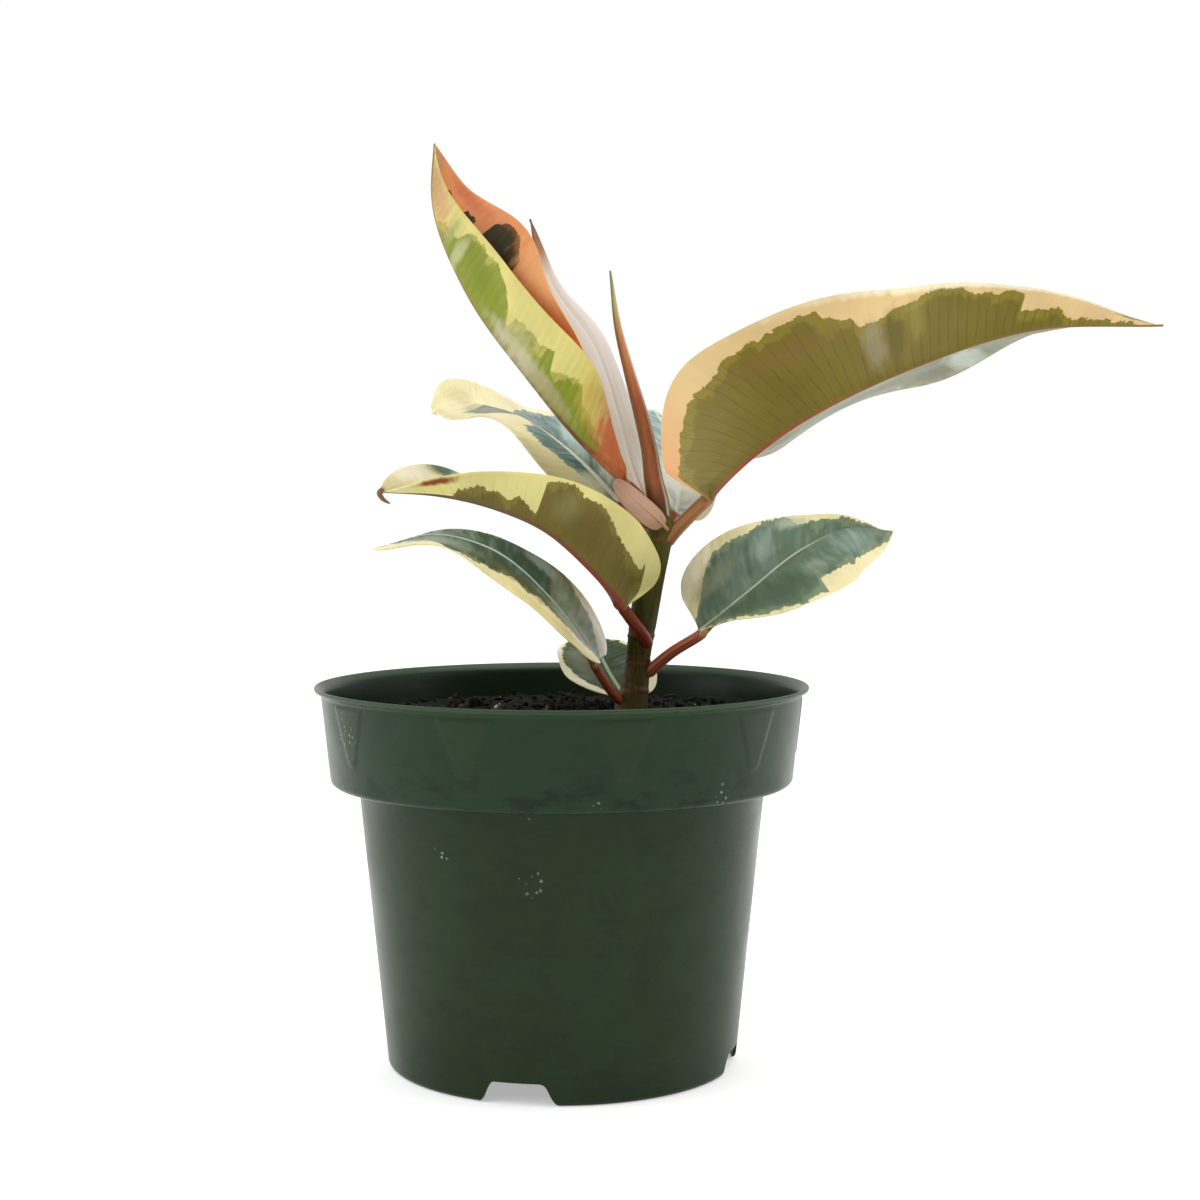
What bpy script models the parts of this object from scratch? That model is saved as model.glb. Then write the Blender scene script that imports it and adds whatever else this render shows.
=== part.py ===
"""Potted rubber plant: a young variegated Ficus elastica in a moulded nursery pot.

Metres, +Z up. The origin is on the ground under the middle of the pot, and the
pot's front looks along -Y. Points of the plant are listed in millimetres, as a
grower would measure them from that origin, and MM turns them into metres.
"""

import math
import random

import bmesh
import bpy
import numpy as np

MM = 0.001
GAP = 0.3  # between pieces that touch, in millimetres like every length below

# Pot: a 6 inch azalea pot, 158 mm over the lip and 122 mm tall
POT_HEIGHT = 121.6
LIP_RADIUS = 79.0
LIP_THICKNESS = 3.0
BAND_TOP_RADIUS = 76.8
BAND_FOOT_RADIUS = 73.8
BAND_HEIGHT = 31.0
BODY_TOP_RADIUS = 65.1
BODY_FOOT_RADIUS = 55.9
EDGE_RADIUS = 2.0
WALL = 1.2
FLOOR = 1.5
POT_SIDES = 48

# Raised V panels on the band: wide under the lip, rounded at the lower point
PANELS = 10
PANEL_FIRST_ANGLE = 15.0
PANEL_TOP_WIDTH = 17.5
PANEL_TOP_Z = 118.2
PANEL_POINT_Z = 100.1
PANEL_POINT_RADIUS = 2.6
PANEL_RISE = 0.45
PANEL_ROOT = 0.6  # how deep the panel is sunk into the wall it is moulded with

# Drain bays: pockets in the floor that open through a notch in the foot of the wall
BAYS = 4
BAY_FIRST_ANGLE = -13.0
BAY_INNER_RADIUS = 25.0
BAY_HEIGHT = 7.0
BAY_HALF_ANGLE = 27.0
NOTCH_HALF_ANGLE_GROUND = 12.0
NOTCH_HALF_ANGLE_TOP = 8.6
NOTCH_DEPTH = 6.0  # from the foot's outer face inwards, right through the wall
DRAIN_HOLE_RADIUS = 4.0
DRAIN_HOLE_AT = 41.0
DRAIN_HOLE_FROM = 3.0
DRAIN_HOLE_TO = 12.0
DRAIN_HOLE_SIDES = 16

# Potting mix
MIX_EDGE_Z = 110.2
MIX_SHOULDER = 4.0  # the mix's side is straight over this last part of its height
MIX_MOUND = 2.2
MIX_MOUND_RADIUS = 34.0
MIX_RELIEF = 0.8
MIX_ROUGHNESS = 0.7
MIX_RINGS = (1, 0.84, 0.67, 0.5, 0.33, 0.16)
MIX_SIDES = 32
MIX_SEED = 11
SMOOTH_ROUND_STEM = 14.0  # radius of the firmed mix round the stem
CRUMBS = 18
CRUMB_RADIUS = (1.3, 2.9)
CRUMB_STRETCH = (0.7, 1.2)
CRUMB_SPREAD = (0.05, 0.86)  # shares of the top's area that the crumbs lie between

# Stem: centre line and radius, from inside the mix up to the top node
STEM = (
    ((21.8, 0.0, 61.6), 4.4),
    ((22.0, 0.0, 97.6), 5.2),
    ((22.3, 0.0, 114.1), 5.3),
    ((23.5, 0.0, 120.6), 4.4),
    ((24.5, 0.0, 129.1), 3.8),
    ((25.4, 0.0, 137.2), 4.15),
    ((27.2, 0.0, 148.6), 4.4),
    ((29.4, 0.0, 158.6), 4.05),
    ((31.3, 0.0, 167.6), 3.9),
    ((32.1, 0.0, 173.6), 3.7),
)
STEM_SCARS = (120.6, 129.1, 137.2, 167.6)
STEM_SCAR_RISE = 0.35
STEM_SCAR_LENGTH = 1.3
STEM_SIDES = 14
STEM_STEPS = 32

# Leaves
BLADE_THICKNESS = 0.8
MARGIN_THICKNESS = 0.62
ACROSS = (0.4, 0.72, 1.0)
BLADE_STEPS = 18
PETIOLE_STEPS = 4
TIP_HALF_WIDTH = 0.5
PETIOLE_FADE = 6  # power by which the petiole's width fades along the blade's base
STEADINESS = 0.15  # how far the blade's sections keep to the straight line from its base to its tip
RIB_LIMIT = 0.25  # the midrib's flank never takes a larger share of a half than this
RIB_END = 1.1  # share of the blade at which the midrib's flank would run out
PETIOLE_SEAM = 8.0  # degrees below level at which a petiole's round section passes into the blade's margins
KEEL_ALONG = 0.4  # share of the midrib's depth that tapers over the whole blade
KEEL_AT_BASE = 0.6  # share that goes with the petiole, within the first tenth of the blade
KEEL_BASE_FADE = 12  # power by which that part fades
KEEL_SHOULDER = 0.35  # the midrib's depth beside its crest

# line: petiole and midrib from the stem to the tip. blade_from: which of its points starts the blade.
# half_width: widest reach of each half. widest: where, as a share of the blade. blunt: lower is blunter.
# up: which way the upper side looks before roll. roll: turn of the upper side to its own right.
# fold: how far each half is raised from flat. curl: how much further it has turned at the margin.
# sweep: how far the margin runs ahead of the midrib. waves: height, number and start of the ripples.
# Where a value has two parts, the left half's comes first. Angles are listed from base to tip.
LEAVES = {
    "leaf_low_left": dict(
        line=((21.5, 0.0, 116.2), (17.4, -5.5, 120.0), (11.9, -12.0, 128.8), (-1.2, -20.0, 148.1),
              (-22.5, -31.0, 166.7), (-37.7, -37.0, 170.7), (-56.0, -42.0, 166.5)),
        blade_from=2, petiole_radius=1.4, half_width=(19.4, 20.4), widest=(0.38, 0.12),
        blunt=(0.32, 0.27), up=(0, 0, 1), roll=(-30, -27, -6), fold=((11, -10, 1), (8, 21, 6)),
        curl=((0, 0), (0, 0)), sweep=(-31, -12, 0), waves=((0.8, 2.5, 0.1), (0.8, 2.5, 0.5))),
    "leaf_low_right": dict(
        line=((25.0, 0.0, 125.4), (34.5, -5.5, 133.6), (43.7, -11.0, 139.7), (56.8, -17.0, 151.0),
              (76.5, -26.0, 167.0), (88.8, -29.0, 172.6), (101.6, -31.0, 171.4)),
        blade_from=2, petiole_radius=1.75, half_width=(23.5, 22.0), widest=(0.21, 0.67),
        blunt=(0.43, 1.3), up=(0, 0, 1), roll=(35, 54, 45), fold=((26, 20, 10), (0, 0, 0)),
        curl=((0, 0), (0, 0)), sweep=(-14, 0, 5), waves=((0.8, 2.5, 0.4), (0.8, 2.5, 0.7))),
    "leaf_low_back": dict(
        line=((22.8, 0.5, 115.5), (21.8, 6.0, 115.7), (21.0, 9.5, 116.0), (17.0, 22.0, 120.4),
              (12.5, 38.0, 127.1), (8.5, 56.0, 132.1)),
        blade_from=2, petiole_radius=1.2, half_width=(17.0, 17.0), widest=(0.42, 0.42),
        blunt=(0.45, 0.45), up=(0, 0, 1), roll=(0, 0, 0), fold=((8, 8, 8), (8, 8, 8)),
        curl=((0, 0), (0, 0)), sweep=(0, 0, 0), waves=((0.6, 2.0, 0.2), (0.6, 2.0, 0.6))),
    "leaf_mid_left": dict(
        line=((26.0, 0.0, 135.6), (24.0, -6.0, 140.6), (20.2, -9.0, 147.1), (9.4, -11.0, 159.3),
              (-6.6, -13.5, 172.7), (-20.0, -15.5, 178.5), (-37.6, -17.0, 182.5), (-56.0, -18.0, 183.5)),
        blade_from=2, petiole_radius=1.9, half_width=(20.8, 21.0), widest=(0.2, 0.32),
        blunt=(0.29, 0.29), up=(0, 0, 1), roll=(42, 40, 14, -25), fold=((31, 45, 61, 54), (48, 48, 31, 56)),
        curl=((0, 0), (0, 0)), sweep=(4, -19, 18), waves=((0.8, 2.5, 0.0), (1.6, 2.5, 0.4))),
    "leaf_upper_left": dict(
        line=((31.0, 0.8, 166.8), (26.5, 5.5, 170.6), (18.9, 9.5, 179.3), (1.8, 17.0, 196.9),
              (-16.0, 24.0, 208.8), (-29.3, 28.0, 212.6), (-40.6, 31.0, 216.4), (-44.2, 32.4, 211.0)),
        blade_from=2, petiole_radius=1.5, half_width=(14.2, 21.0), widest=(0.46, 0.31),
        blunt=(0.28, 0.7), up=(0, 0, 1), roll=(-50, -7, -50), fold=((-2, -5, -11), (11, -5, -1)),
        curl=((0, 0), (0, 0)), sweep=(23, 32, 6), waves=((0.8, 2.5, 0.3), (0.8, 2.5, 0.6))),
    "leaf_upper_back": dict(
        line=((32.4, 0.8, 169.0), (34.8, 6.5, 172.2), (36.8, 10.5, 176.0), (38.2, 18.0, 184.6),
              (37.0, 30.0, 194.4), (34.5, 44.0, 203.6), (31.0, 58.0, 210.6)),
        blade_from=2, petiole_radius=1.4, half_width=(12.5, 13.0), widest=(0.45, 0.25),
        blunt=(0.45, 0.3), up=(0, -1, 0.3), roll=(26, 26, 20), fold=((12, 12, 12), (4, 4, 4)),
        curl=((0, 0), (0, 0)), sweep=(0, 0, 0), waves=((0.6, 2.0, 0.5), (0.6, 2.0, 0.1))),
    "leaf_large_right": dict(
        line=((31.6, 0.0, 169.2), (37.5, 0.5, 175.2), (44.4, 2.0, 181.7), (73.4, 5.0, 204.3),
              (112.1, 7.0, 223.1), (150.9, 6.0, 235.1), (191.7, 2.0, 236.2)),
        blade_from=2, petiole_radius=1.9, half_width=(32.5, 35.4), widest=(0.39, 0.2),
        blunt=(0.62, 0.31), up=(0, 0, 1), roll=(-21, -44, -50, -44, -25),
        fold=((64, 28, 41, 39, 45), (13, 54, 22, 53, 47)),
        curl=((0, 0), (0, 0)), sweep=(-25, 7, 23), waves=((3.5, 2.0, -0.39), (1.2, 3.0, 0.3))),
    "leaf_young_folded": dict(
        line=((30.6, -1.4, 173.0), (27.4, -3.4, 180.6), (22.5, -5.0, 185.8), (15.8, -6.0, 191.0),
              (-10.6, -9.0, 220.2), (-29.2, -8.0, 246.0), (-40.2, -4.0, 274.5), (-40.0, 0.0, 293.0)),
        blade_from=2, petiole_radius=1.5, half_width=(24.5, 27.0), widest=(0.4, 0.58),
        blunt=(0.98, 1.4), up=(1, 0, 0), roll=(-15, -15, -15), fold=((87, 57, 81), (61, 112, 29)),
        curl=((0, 0), (0, 0)), sweep=(24, -8, 10), waves=((0.5, 2.0, 0.0), (0.5, 2.0, 0.3))),
    "spent_sheath": dict(
        line=((31.0, 1.8, 173.0), (26.0, 3.6, 181.6), (23.0, 5.0, 187.1), (18.0, 8.0, 206.1),
              (10.3, 9.5, 230.6), (-2.4, 10.0, 248.6), (-10.2, 9.0, 270.5)),
        blade_from=2, petiole_radius=1.2, half_width=(9.5, 9.5), widest=(0.33, 0.33),
        blunt=(0.45, 0.45), up=(1, -1, 0.5), roll=(0, 0, 0), fold=((10, 10, 10), (10, 10, 10)),
        curl=((-40, -40), (-40, -40)), sweep=(0, 0, 0), waves=((0.3, 3.0, 0.0), (0.3, 3.0, 0.4))),
    "bud_scale": dict(
        line=((33.2, -2.6, 172.0), (32.9, -5.0, 173.0), (31.5, -6.2, 175.0), (25.5, -7.6, 180.6),
              (18.0, -7.8, 187.6)),
        blade_from=1, petiole_radius=0.6, half_width=(3.6, 3.6), widest=(0.45, 0.45),
        blunt=(0.7, 0.7), up=(0, 1, 0), roll=(0, 0, 0), fold=((0, 0, 0), (0, 0, 0)),
        curl=((10, 10), (10, 10)), sweep=(0, 0, 0), waves=((0.0, 1.0, 0.0), (0.0, 1.0, 0.0))),
}

# Terminal bud: centre line and radius
BUD = (
    ((32.8, -0.2, 173.0), 1.6),
    ((31.4, -0.2, 179.6), 2.5),
    ((29.6, -0.2, 186.6), 2.6),
    ((27.8, -0.2, 196.6), 2.45),
    ((25.2, -0.2, 207.6), 2.2),
    ((21.6, -0.2, 220.6), 1.7),
    ((18.0, -0.2, 234.6), 1.15),
    ((15.4, -0.2, 253.2), 0.35),
)
BUD_SIDES = 12
BUD_STEPS = 24

FINISHES = {
    "pot": ("#33493A", 0.38),
    "potting_mix": ("#2B2119", 0.95),
    "stem": ("#4A4A2C", 0.6),
    "terminal_bud": ("#9A3B2A", 0.45),
    "spent_sheath": ("#CFC6D6", 0.6),
    "bud_scale": ("#B9808A", 0.5),
    "leaf_young_folded": ("#B9B04A", 0.4),
    "leaf_large_right": ("#7A7535", 0.4),
    "leaf_mid_left": ("#7F7A3A", 0.4),
}
LEAF_FINISH = ("#3E5A44", 0.3)


def clear_scene():
    for obj in list(bpy.data.objects):
        bpy.data.objects.remove(obj, do_unlink=True)


def linear(channel):
    return channel / 12.92 if channel <= 0.04045 else ((channel + 0.055) / 1.055) ** 2.4


def finish(name):
    """A Principled material in the piece's own colour and roughness."""
    hex_colour, roughness = FINISHES.get(name, LEAF_FINISH)
    channels = [int(hex_colour[i:i + 2], 16) / 255 for i in (1, 3, 5)]
    material = bpy.data.materials.new(name)
    material.use_nodes = True
    shader = material.node_tree.nodes["Principled BSDF"]
    shader.inputs["Base Color"].default_value = (*map(linear, channels), 1)
    shader.inputs["Roughness"].default_value = roughness
    shader.inputs["Metallic"].default_value = 0.0
    return material


def solid(name, points, faces, smooth_angle=40):
    """A mesh object from points in millimetres."""
    mesh = bpy.data.meshes.new(name)
    mesh.from_pydata([tuple(MM * float(value) for value in point) for point in points], [], faces)
    mesh.shade_smooth()
    mesh.set_sharp_from_angle(angle=math.radians(smooth_angle))
    obj = bpy.data.objects.new(name, mesh)
    bpy.context.scene.collection.objects.link(obj)
    return obj


def helper(name, points, faces, collection):
    """A solid that only shapes another one, kept in a collection of such tools."""
    obj = solid(name, points, faces)
    bpy.context.scene.collection.objects.unlink(obj)
    collection.objects.link(obj)
    obj.hide_render = True
    obj.display_type = "WIRE"
    return obj


def helpers(name):
    collection = bpy.data.collections.new(name)
    bpy.context.scene.collection.children.link(collection)
    return collection


def combine(obj, collection, operation):
    modifier = obj.modifiers.new(collection.name, "BOOLEAN")
    modifier.operation = operation
    modifier.operand_type = "COLLECTION"
    modifier.collection = collection
    modifier.solver = "EXACT"


def unit(vectors):
    vectors = np.asarray(vectors, float)
    return vectors / np.linalg.norm(vectors, axis=-1, keepdims=True)


def turned(profile, sides):
    """Points and faces of a profile of (radius, height) turned about Z, which ends on the axis."""
    points, rings = [], []
    for radius, height in profile:
        if radius == 0:
            rings.append([len(points)] * sides)
            points.append((0, 0, height))
            continue
        rings.append(list(range(len(points), len(points) + sides)))
        for k in range(sides):
            angle = 2 * math.pi * k / sides
            points.append((radius * math.cos(angle), radius * math.sin(angle), height))
    faces = []
    for low, high in zip(rings, rings[1:]):
        for k in range(sides):
            corners = (low[k], low[(k + 1) % sides], high[(k + 1) % sides], high[k])
            faces.append(tuple(dict.fromkeys(corners)))
    return points, faces


def arc(centre, radius, start, end, steps):
    """Points of a round corner in a profile, angles in degrees from +radius towards +Z."""
    angles = np.radians(np.linspace(start, end, steps + 1))
    return [(centre[0] + radius * math.cos(a), centre[1] + radius * math.sin(a)) for a in angles]


def wall_radius(height):
    """Outer radius of the pot's body and band."""
    band_foot = POT_HEIGHT - BAND_HEIGHT
    if height >= band_foot:
        share = (height - band_foot) / (POT_HEIGHT - LIP_THICKNESS - band_foot)
        return BAND_FOOT_RADIUS + share * (BAND_TOP_RADIUS - BAND_FOOT_RADIUS)
    return BODY_FOOT_RADIUS + height / band_foot * (BODY_TOP_RADIUS - BODY_FOOT_RADIUS)


def pot_outside():
    """The pot's outer profile, from the middle of its underside to the top of its lip."""
    ledge = POT_HEIGHT - BAND_HEIGHT
    lip_foot = POT_HEIGHT - LIP_THICKNESS
    foot = wall_radius(EDGE_RADIUS)
    bead = LIP_THICKNESS / 2
    profile = [(0, 0)]
    profile += arc((foot - EDGE_RADIUS, EDGE_RADIUS), EDGE_RADIUS, -90, 0, 4)
    profile += [(wall_radius(ledge - 0.01), ledge)]
    profile += arc((wall_radius(ledge + EDGE_RADIUS) - EDGE_RADIUS, ledge + EDGE_RADIUS), EDGE_RADIUS, -90, 0, 4)
    profile += [(BAND_TOP_RADIUS, lip_foot)]
    profile += arc((LIP_RADIUS - bead, POT_HEIGHT - bead), bead, -75, 90, 5)
    return profile


def pot_inside(clearance=0.0):
    """The pot's inner profile, from its lip down to the middle of its floor."""
    ledge = POT_HEIGHT - BAND_HEIGHT + WALL + clearance
    foot = wall_radius(FLOOR) - WALL - clearance
    corner = EDGE_RADIUS - WALL
    floor = FLOOR + clearance
    profile = [(BAND_TOP_RADIUS - WALL - clearance, POT_HEIGHT - LIP_THICKNESS)]
    profile += arc((wall_radius(ledge + corner) - WALL - clearance - corner, ledge + corner), corner, 0, -90, 3)
    profile += [(BODY_TOP_RADIUS - WALL - clearance, ledge)]
    profile += arc((foot - corner, floor + corner), corner, 0, -90, 3)
    profile += [(0, floor)]
    return profile


def wedge(angle, half_angles, radii, heights, steps=4):
    """A block between two radii, as wide at its foot and at its top as the two half angles say."""
    points = []
    for half_angle, height in zip(half_angles, heights):
        for radius in radii:
            reach = radius(height) if callable(radius) else radius
            for turn in np.linspace(-half_angle, half_angle, steps + 1):
                at = math.radians(angle + turn - 90)
                points.append((reach * math.cos(at), reach * math.sin(at), height))
    row = steps + 1
    low_in, low_out, top_in, top_out = (range(k * row, (k + 1) * row) for k in range(4))
    faces = []
    for k in range(steps):
        faces.append((low_in[k], low_in[k + 1], low_out[k + 1], low_out[k]))
        faces.append((top_in[k + 1], top_in[k], top_out[k], top_out[k + 1]))
        faces.append((low_in[k + 1], low_in[k], top_in[k], top_in[k + 1]))
        faces.append((low_out[k], low_out[k + 1], top_out[k + 1], top_out[k]))
    faces.append((low_in[0], low_out[0], top_out[0], top_in[0]))
    faces.append((low_out[steps], low_in[steps], top_in[steps], top_out[steps]))
    return points, faces


def bay_angles():
    return [BAY_FIRST_ANGLE + 360 * k / BAYS for k in range(BAYS)]


def bay_block(angle, grown, reach, foot):
    """A drain bay's shape, grown upwards and sideways from the pocket itself."""
    half_angle = BAY_HALF_ANGLE + math.degrees(grown / BAY_INNER_RADIUS)
    return wedge(angle, (half_angle, half_angle), (BAY_INNER_RADIUS - grown, reach), (foot, BAY_HEIGHT + grown), 6)


def notch_block(angle):
    """The way out of a bay through the foot of the wall, wider at the ground."""
    half_angles = (NOTCH_HALF_ANGLE_GROUND, NOTCH_HALF_ANGLE_TOP)
    return wedge(angle, half_angles, (BODY_FOOT_RADIUS - NOTCH_DEPTH, LIP_RADIUS), (0, BAY_HEIGHT))


def panel_block(angle):
    """A V panel: wide under the lip, rounded at its lower point, standing a little proud of the band."""
    outline = [(-PANEL_TOP_WIDTH / 2, PANEL_TOP_Z), (PANEL_TOP_WIDTH / 2, PANEL_TOP_Z)]
    outline += arc((0, PANEL_POINT_Z + PANEL_POINT_RADIUS), PANEL_POINT_RADIUS, -28, -152, 4)
    points = []
    for rise in (-PANEL_ROOT, PANEL_RISE):
        for x, z in outline:
            radius = wall_radius(z) + rise
            at = math.radians(angle - 90) + x / radius
            points.append((radius * math.cos(at), radius * math.sin(at), z))
    count = len(outline)
    inner, outer = range(count), range(count, 2 * count)
    faces = [tuple(inner), tuple(reversed(outer))]
    for k in range(count):
        after = (k + 1) % count
        faces.append((inner[after], inner[k], outer[k], outer[after]))
    return points, faces


def face_outwards(obj):
    shape = bmesh.new()
    shape.from_mesh(obj.data)
    bmesh.ops.recalc_face_normals(shape, faces=shape.faces)
    shape.to_mesh(obj.data)
    shape.free()


def build_pot():
    pot = solid("pot", *turned(pot_outside() + pot_inside(), POT_SIDES), smooth_angle=30)
    added = helpers("pot_mouldings")
    cuts = helpers("pot_cuts")
    for k in range(PANELS):
        panel = helper(f"panel_{k}", *panel_block(PANEL_FIRST_ANGLE + 360 * k / PANELS), added)
        face_outwards(panel)
    for k, angle in enumerate(bay_angles()):
        housing = bay_block(angle, FLOOR, lambda z: wall_radius(z) - WALL / 2, FLOOR / 2)
        pocket = bay_block(angle, 0, lambda z: wall_radius(z) - WALL, -1.0)
        face_outwards(helper(f"bay_housing_{k}", *housing, added))
        face_outwards(helper(f"bay_{k}", *pocket, cuts))
        face_outwards(helper(f"notch_{k}", *notch_block(angle), cuts))
        at = math.radians(angle - 90)
        low, high, wide = DRAIN_HOLE_FROM, DRAIN_HOLE_TO, DRAIN_HOLE_RADIUS
        hole, faces = turned(((0, low), (wide, low), (wide, high), (0, high)), DRAIN_HOLE_SIDES)
        shift = (DRAIN_HOLE_AT * math.cos(at), DRAIN_HOLE_AT * math.sin(at), 0)
        hole = [tuple(np.add(point, shift)) for point in hole]
        face_outwards(helper(f"drain_hole_{k}", hole, faces, cuts))
    combine(pot, added, "UNION")
    combine(pot, cuts, "DIFFERENCE")
    return pot


def mix_height(x, y):
    """Top of the potting mix: level at the wall, mounded round the stem, in swells 20 mm and 7 mm long."""
    from_stem = math.hypot(x - STEM[2][0][0], y)
    mound = MIX_MOUND * math.exp(-(from_stem / MIX_MOUND_RADIUS) ** 2)
    swells = math.sin(0.31 * x + 1.3) * math.cos(0.27 * y - 0.4) + 0.6 * math.sin(0.71 * x - 0.53 * y)
    loose = 1 - math.exp(-(from_stem / SMOOTH_ROUND_STEM) ** 4)
    return MIX_EDGE_Z + mound + MIX_RELIEF * swells * loose


def mix_wall():
    """The mix's side and underside: the pot's inside, a gap smaller, up to the top of the mix."""
    inside = [point for point in pot_inside(GAP) if point[1] < MIX_EDGE_Z - MIX_SHOULDER]
    top = wall_radius(MIX_EDGE_Z) - WALL - GAP
    return list(reversed(inside)), top


def build_mix(stem_room):
    draw = random.Random(MIX_SEED)
    below, top = mix_wall()
    across_top = [(top * share, MIX_EDGE_Z) for share in MIX_RINGS]
    points, faces = turned(below + across_top + [(0, MIX_EDGE_Z)], MIX_SIDES)
    first_of_top = 1 + (len(below) - 1) * MIX_SIDES
    for k in range(first_of_top, len(points)):
        x, y, _ = points[k]
        height = mix_height(x, y) + draw.uniform(-MIX_ROUGHNESS, MIX_ROUGHNESS)
        at_wall = k < first_of_top + MIX_SIDES
        points[k] = (x, y, (height + MIX_EDGE_Z) / 2 if at_wall else height)
    mix = solid("potting_mix", points, faces)
    crumbs = helpers("mix_crumbs")
    for k in range(CRUMBS):
        reach, turn = top * math.sqrt(draw.uniform(*CRUMB_SPREAD)), draw.uniform(0, 2 * math.pi)
        x, y = reach * math.cos(turn), reach * math.sin(turn)
        size = draw.uniform(*CRUMB_RADIUS)
        shape = bmesh.new()
        bmesh.ops.create_icosphere(shape, subdivisions=1, radius=1)
        stretch = [size * draw.uniform(*CRUMB_STRETCH) for _ in range(3)]
        crumb = [(x + v.co.x * stretch[0], y + v.co.y * stretch[1], mix_height(x, y) + v.co.z * stretch[2])
                 for v in shape.verts]
        crumb_faces = [tuple(v.index for v in face.verts) for face in shape.faces]
        shape.free()
        helper(f"crumb_{k}", crumb, crumb_faces, crumbs)
    cuts = helpers("mix_cuts")
    for k, angle in enumerate(bay_angles()):
        room = bay_block(angle, FLOOR + GAP, LIP_RADIUS, -1.0)
        face_outwards(helper(f"bay_room_{k}", *room, cuts))
    combine(mix, crumbs, "UNION")
    combine(mix, cuts, "DIFFERENCE")
    combine(mix, stem_room, "DIFFERENCE")
    return mix


def curve_at(knots, shares):
    """Points of a smooth curve through the knots, at shares of its length, and each knot's own share."""
    knots = np.asarray(knots, float)
    gaps = np.linalg.norm(np.diff(knots, axis=0), axis=1)
    at = np.concatenate([[0.0], np.cumsum(gaps)])
    slopes = np.gradient(knots, at, axis=0)
    fine = np.linspace(0.0, at[-1], 600)
    k = np.clip(np.searchsorted(at, fine, side="right") - 1, 0, len(gaps) - 1)
    t = ((fine - at[k]) / gaps[k])[:, None]
    step = gaps[k][:, None]
    curve = (1 + 2 * t) * (1 - t) ** 2 * knots[k] + t * (1 - t) ** 2 * step * slopes[k]
    curve += t * t * (3 - 2 * t) * knots[k + 1] + t * t * (t - 1) * step * slopes[k + 1]
    run = np.concatenate([[0.0], np.cumsum(np.linalg.norm(np.diff(curve, axis=0), axis=1))])
    run /= run[-1]
    points = np.stack([np.interp(shares, run, curve[:, axis]) for axis in range(curve.shape[1])], axis=1)
    return points, np.interp(at, fine, run)


def eased(values, share):
    """A value between the ones listed, which are spread evenly from base to tip."""
    place = min(max(share, 0.0), 1.0) * (len(values) - 1)
    k = min(int(place), len(values) - 2)
    t = place - k
    return values[k] + (values[k + 1] - values[k]) * t * t * (3 - 2 * t)


def tube(sections, sides, steps, bumps=()):
    """A round stem along a curve, with small swellings where leaves once grew."""
    line = np.array([(*centre, radius) for centre, radius in sections])
    path, _ = curve_at(line, np.linspace(0, 1, steps))
    centres, radii = path[:, :3], path[:, 3].copy()
    for height in bumps:
        radii += STEM_SCAR_RISE * np.exp(-((centres[:, 2] - height) / STEM_SCAR_LENGTH) ** 2)
    tangents = unit(np.gradient(centres, axis=0))
    across = unit(np.cross(tangents, (0, 1, 0)))
    back = np.cross(tangents, across)
    points = []
    for centre, radius, one, other in zip(centres, radii, across, back):
        for k in range(sides):
            angle = 2 * math.pi * k / sides
            points.append(centre + radius * (math.cos(angle) * one + math.sin(angle) * other))
    faces = []
    for i in range(steps - 1):
        for k in range(sides):
            after = (k + 1) % sides
            faces.append((i * sides + k, i * sides + after, (i + 1) * sides + after, (i + 1) * sides + k))
    faces.append(tuple(reversed(range(sides))))
    faces.append(tuple(range((steps - 1) * sides, steps * sides)))
    return points, faces


def half_width_at(leaf, side, share):
    """Reach of one half of the blade, from a blunt base over its widest point to a pointed tip."""
    widest, base_power = leaf["widest"][side], leaf["blunt"][side]
    tip_power = base_power * (1 - widest) / widest
    rise = (share / widest) ** base_power * ((1 - share) / (1 - widest)) ** tip_power
    least = leaf["petiole_radius"] * (1 - share) ** PETIOLE_FADE + TIP_HALF_WIDTH * share
    return max(leaf["half_width"][side] * rise, least)


def leaf_frames(line, leaf, shares):
    """Tangent, upper side and right-hand side of each station, turned by the leaf's roll."""
    tangents = unit(np.gradient(line, axis=0))
    blade = shares >= 0
    chord = unit(line[-1] - line[blade][0])
    steadiness = np.where(blade, STEADINESS, 0.0)[:, None]
    steady = unit((1 - steadiness) * tangents + steadiness * chord)
    up = unit(leaf["up"])
    uppers = unit(up - (steady @ up)[:, None] * steady)
    rights = np.cross(steady, uppers)
    rolls = np.radians([eased(leaf["roll"], share) for share in shares])[:, None]
    turned_uppers = uppers * np.cos(rolls) + rights * np.sin(rolls)
    turned_rights = rights * np.cos(rolls) - uppers * np.sin(rolls)
    return steady, turned_uppers, turned_rights


def half_section(leaf, side, share, ahead, upper, right):
    """One half of a blade's section, from beside the midrib to the margin, with its normals."""
    sign = -1 if side == 0 else 1
    width = half_width_at(leaf, side, share)
    rib = min(leaf["petiole_radius"] * (RIB_END - share) / width, RIB_LIMIT)
    stops = np.array([rib, *ACROSS])
    sweep = ahead * math.tan(math.radians(eased(leaf["sweep"], share)))
    fold = eased(leaf["fold"][side], share)
    curl = eased(leaf["curl"][side], share)
    reach, number, phase = leaf["waves"][side]
    sway = reach * math.sin(2 * math.pi * (number * share + phase)) * math.sin(math.pi * share) ** 0.5
    place, last, tops, normals = np.zeros(3), 0.0, [], []
    for stop in stops:
        angle = math.radians(fold + curl * (last + stop) / 2)
        outwards = sign * right * math.cos(angle) + upper * math.sin(angle) + sweep
        place = place + (stop - last) * width * outwards
        angle = math.radians(fold + curl * stop)
        normal = upper * math.cos(angle) - sign * right * math.sin(angle)
        tops.append(place + sway * stop * stop * normal)
        normals.append(normal)
        last = stop
    return tops, normals


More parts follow.
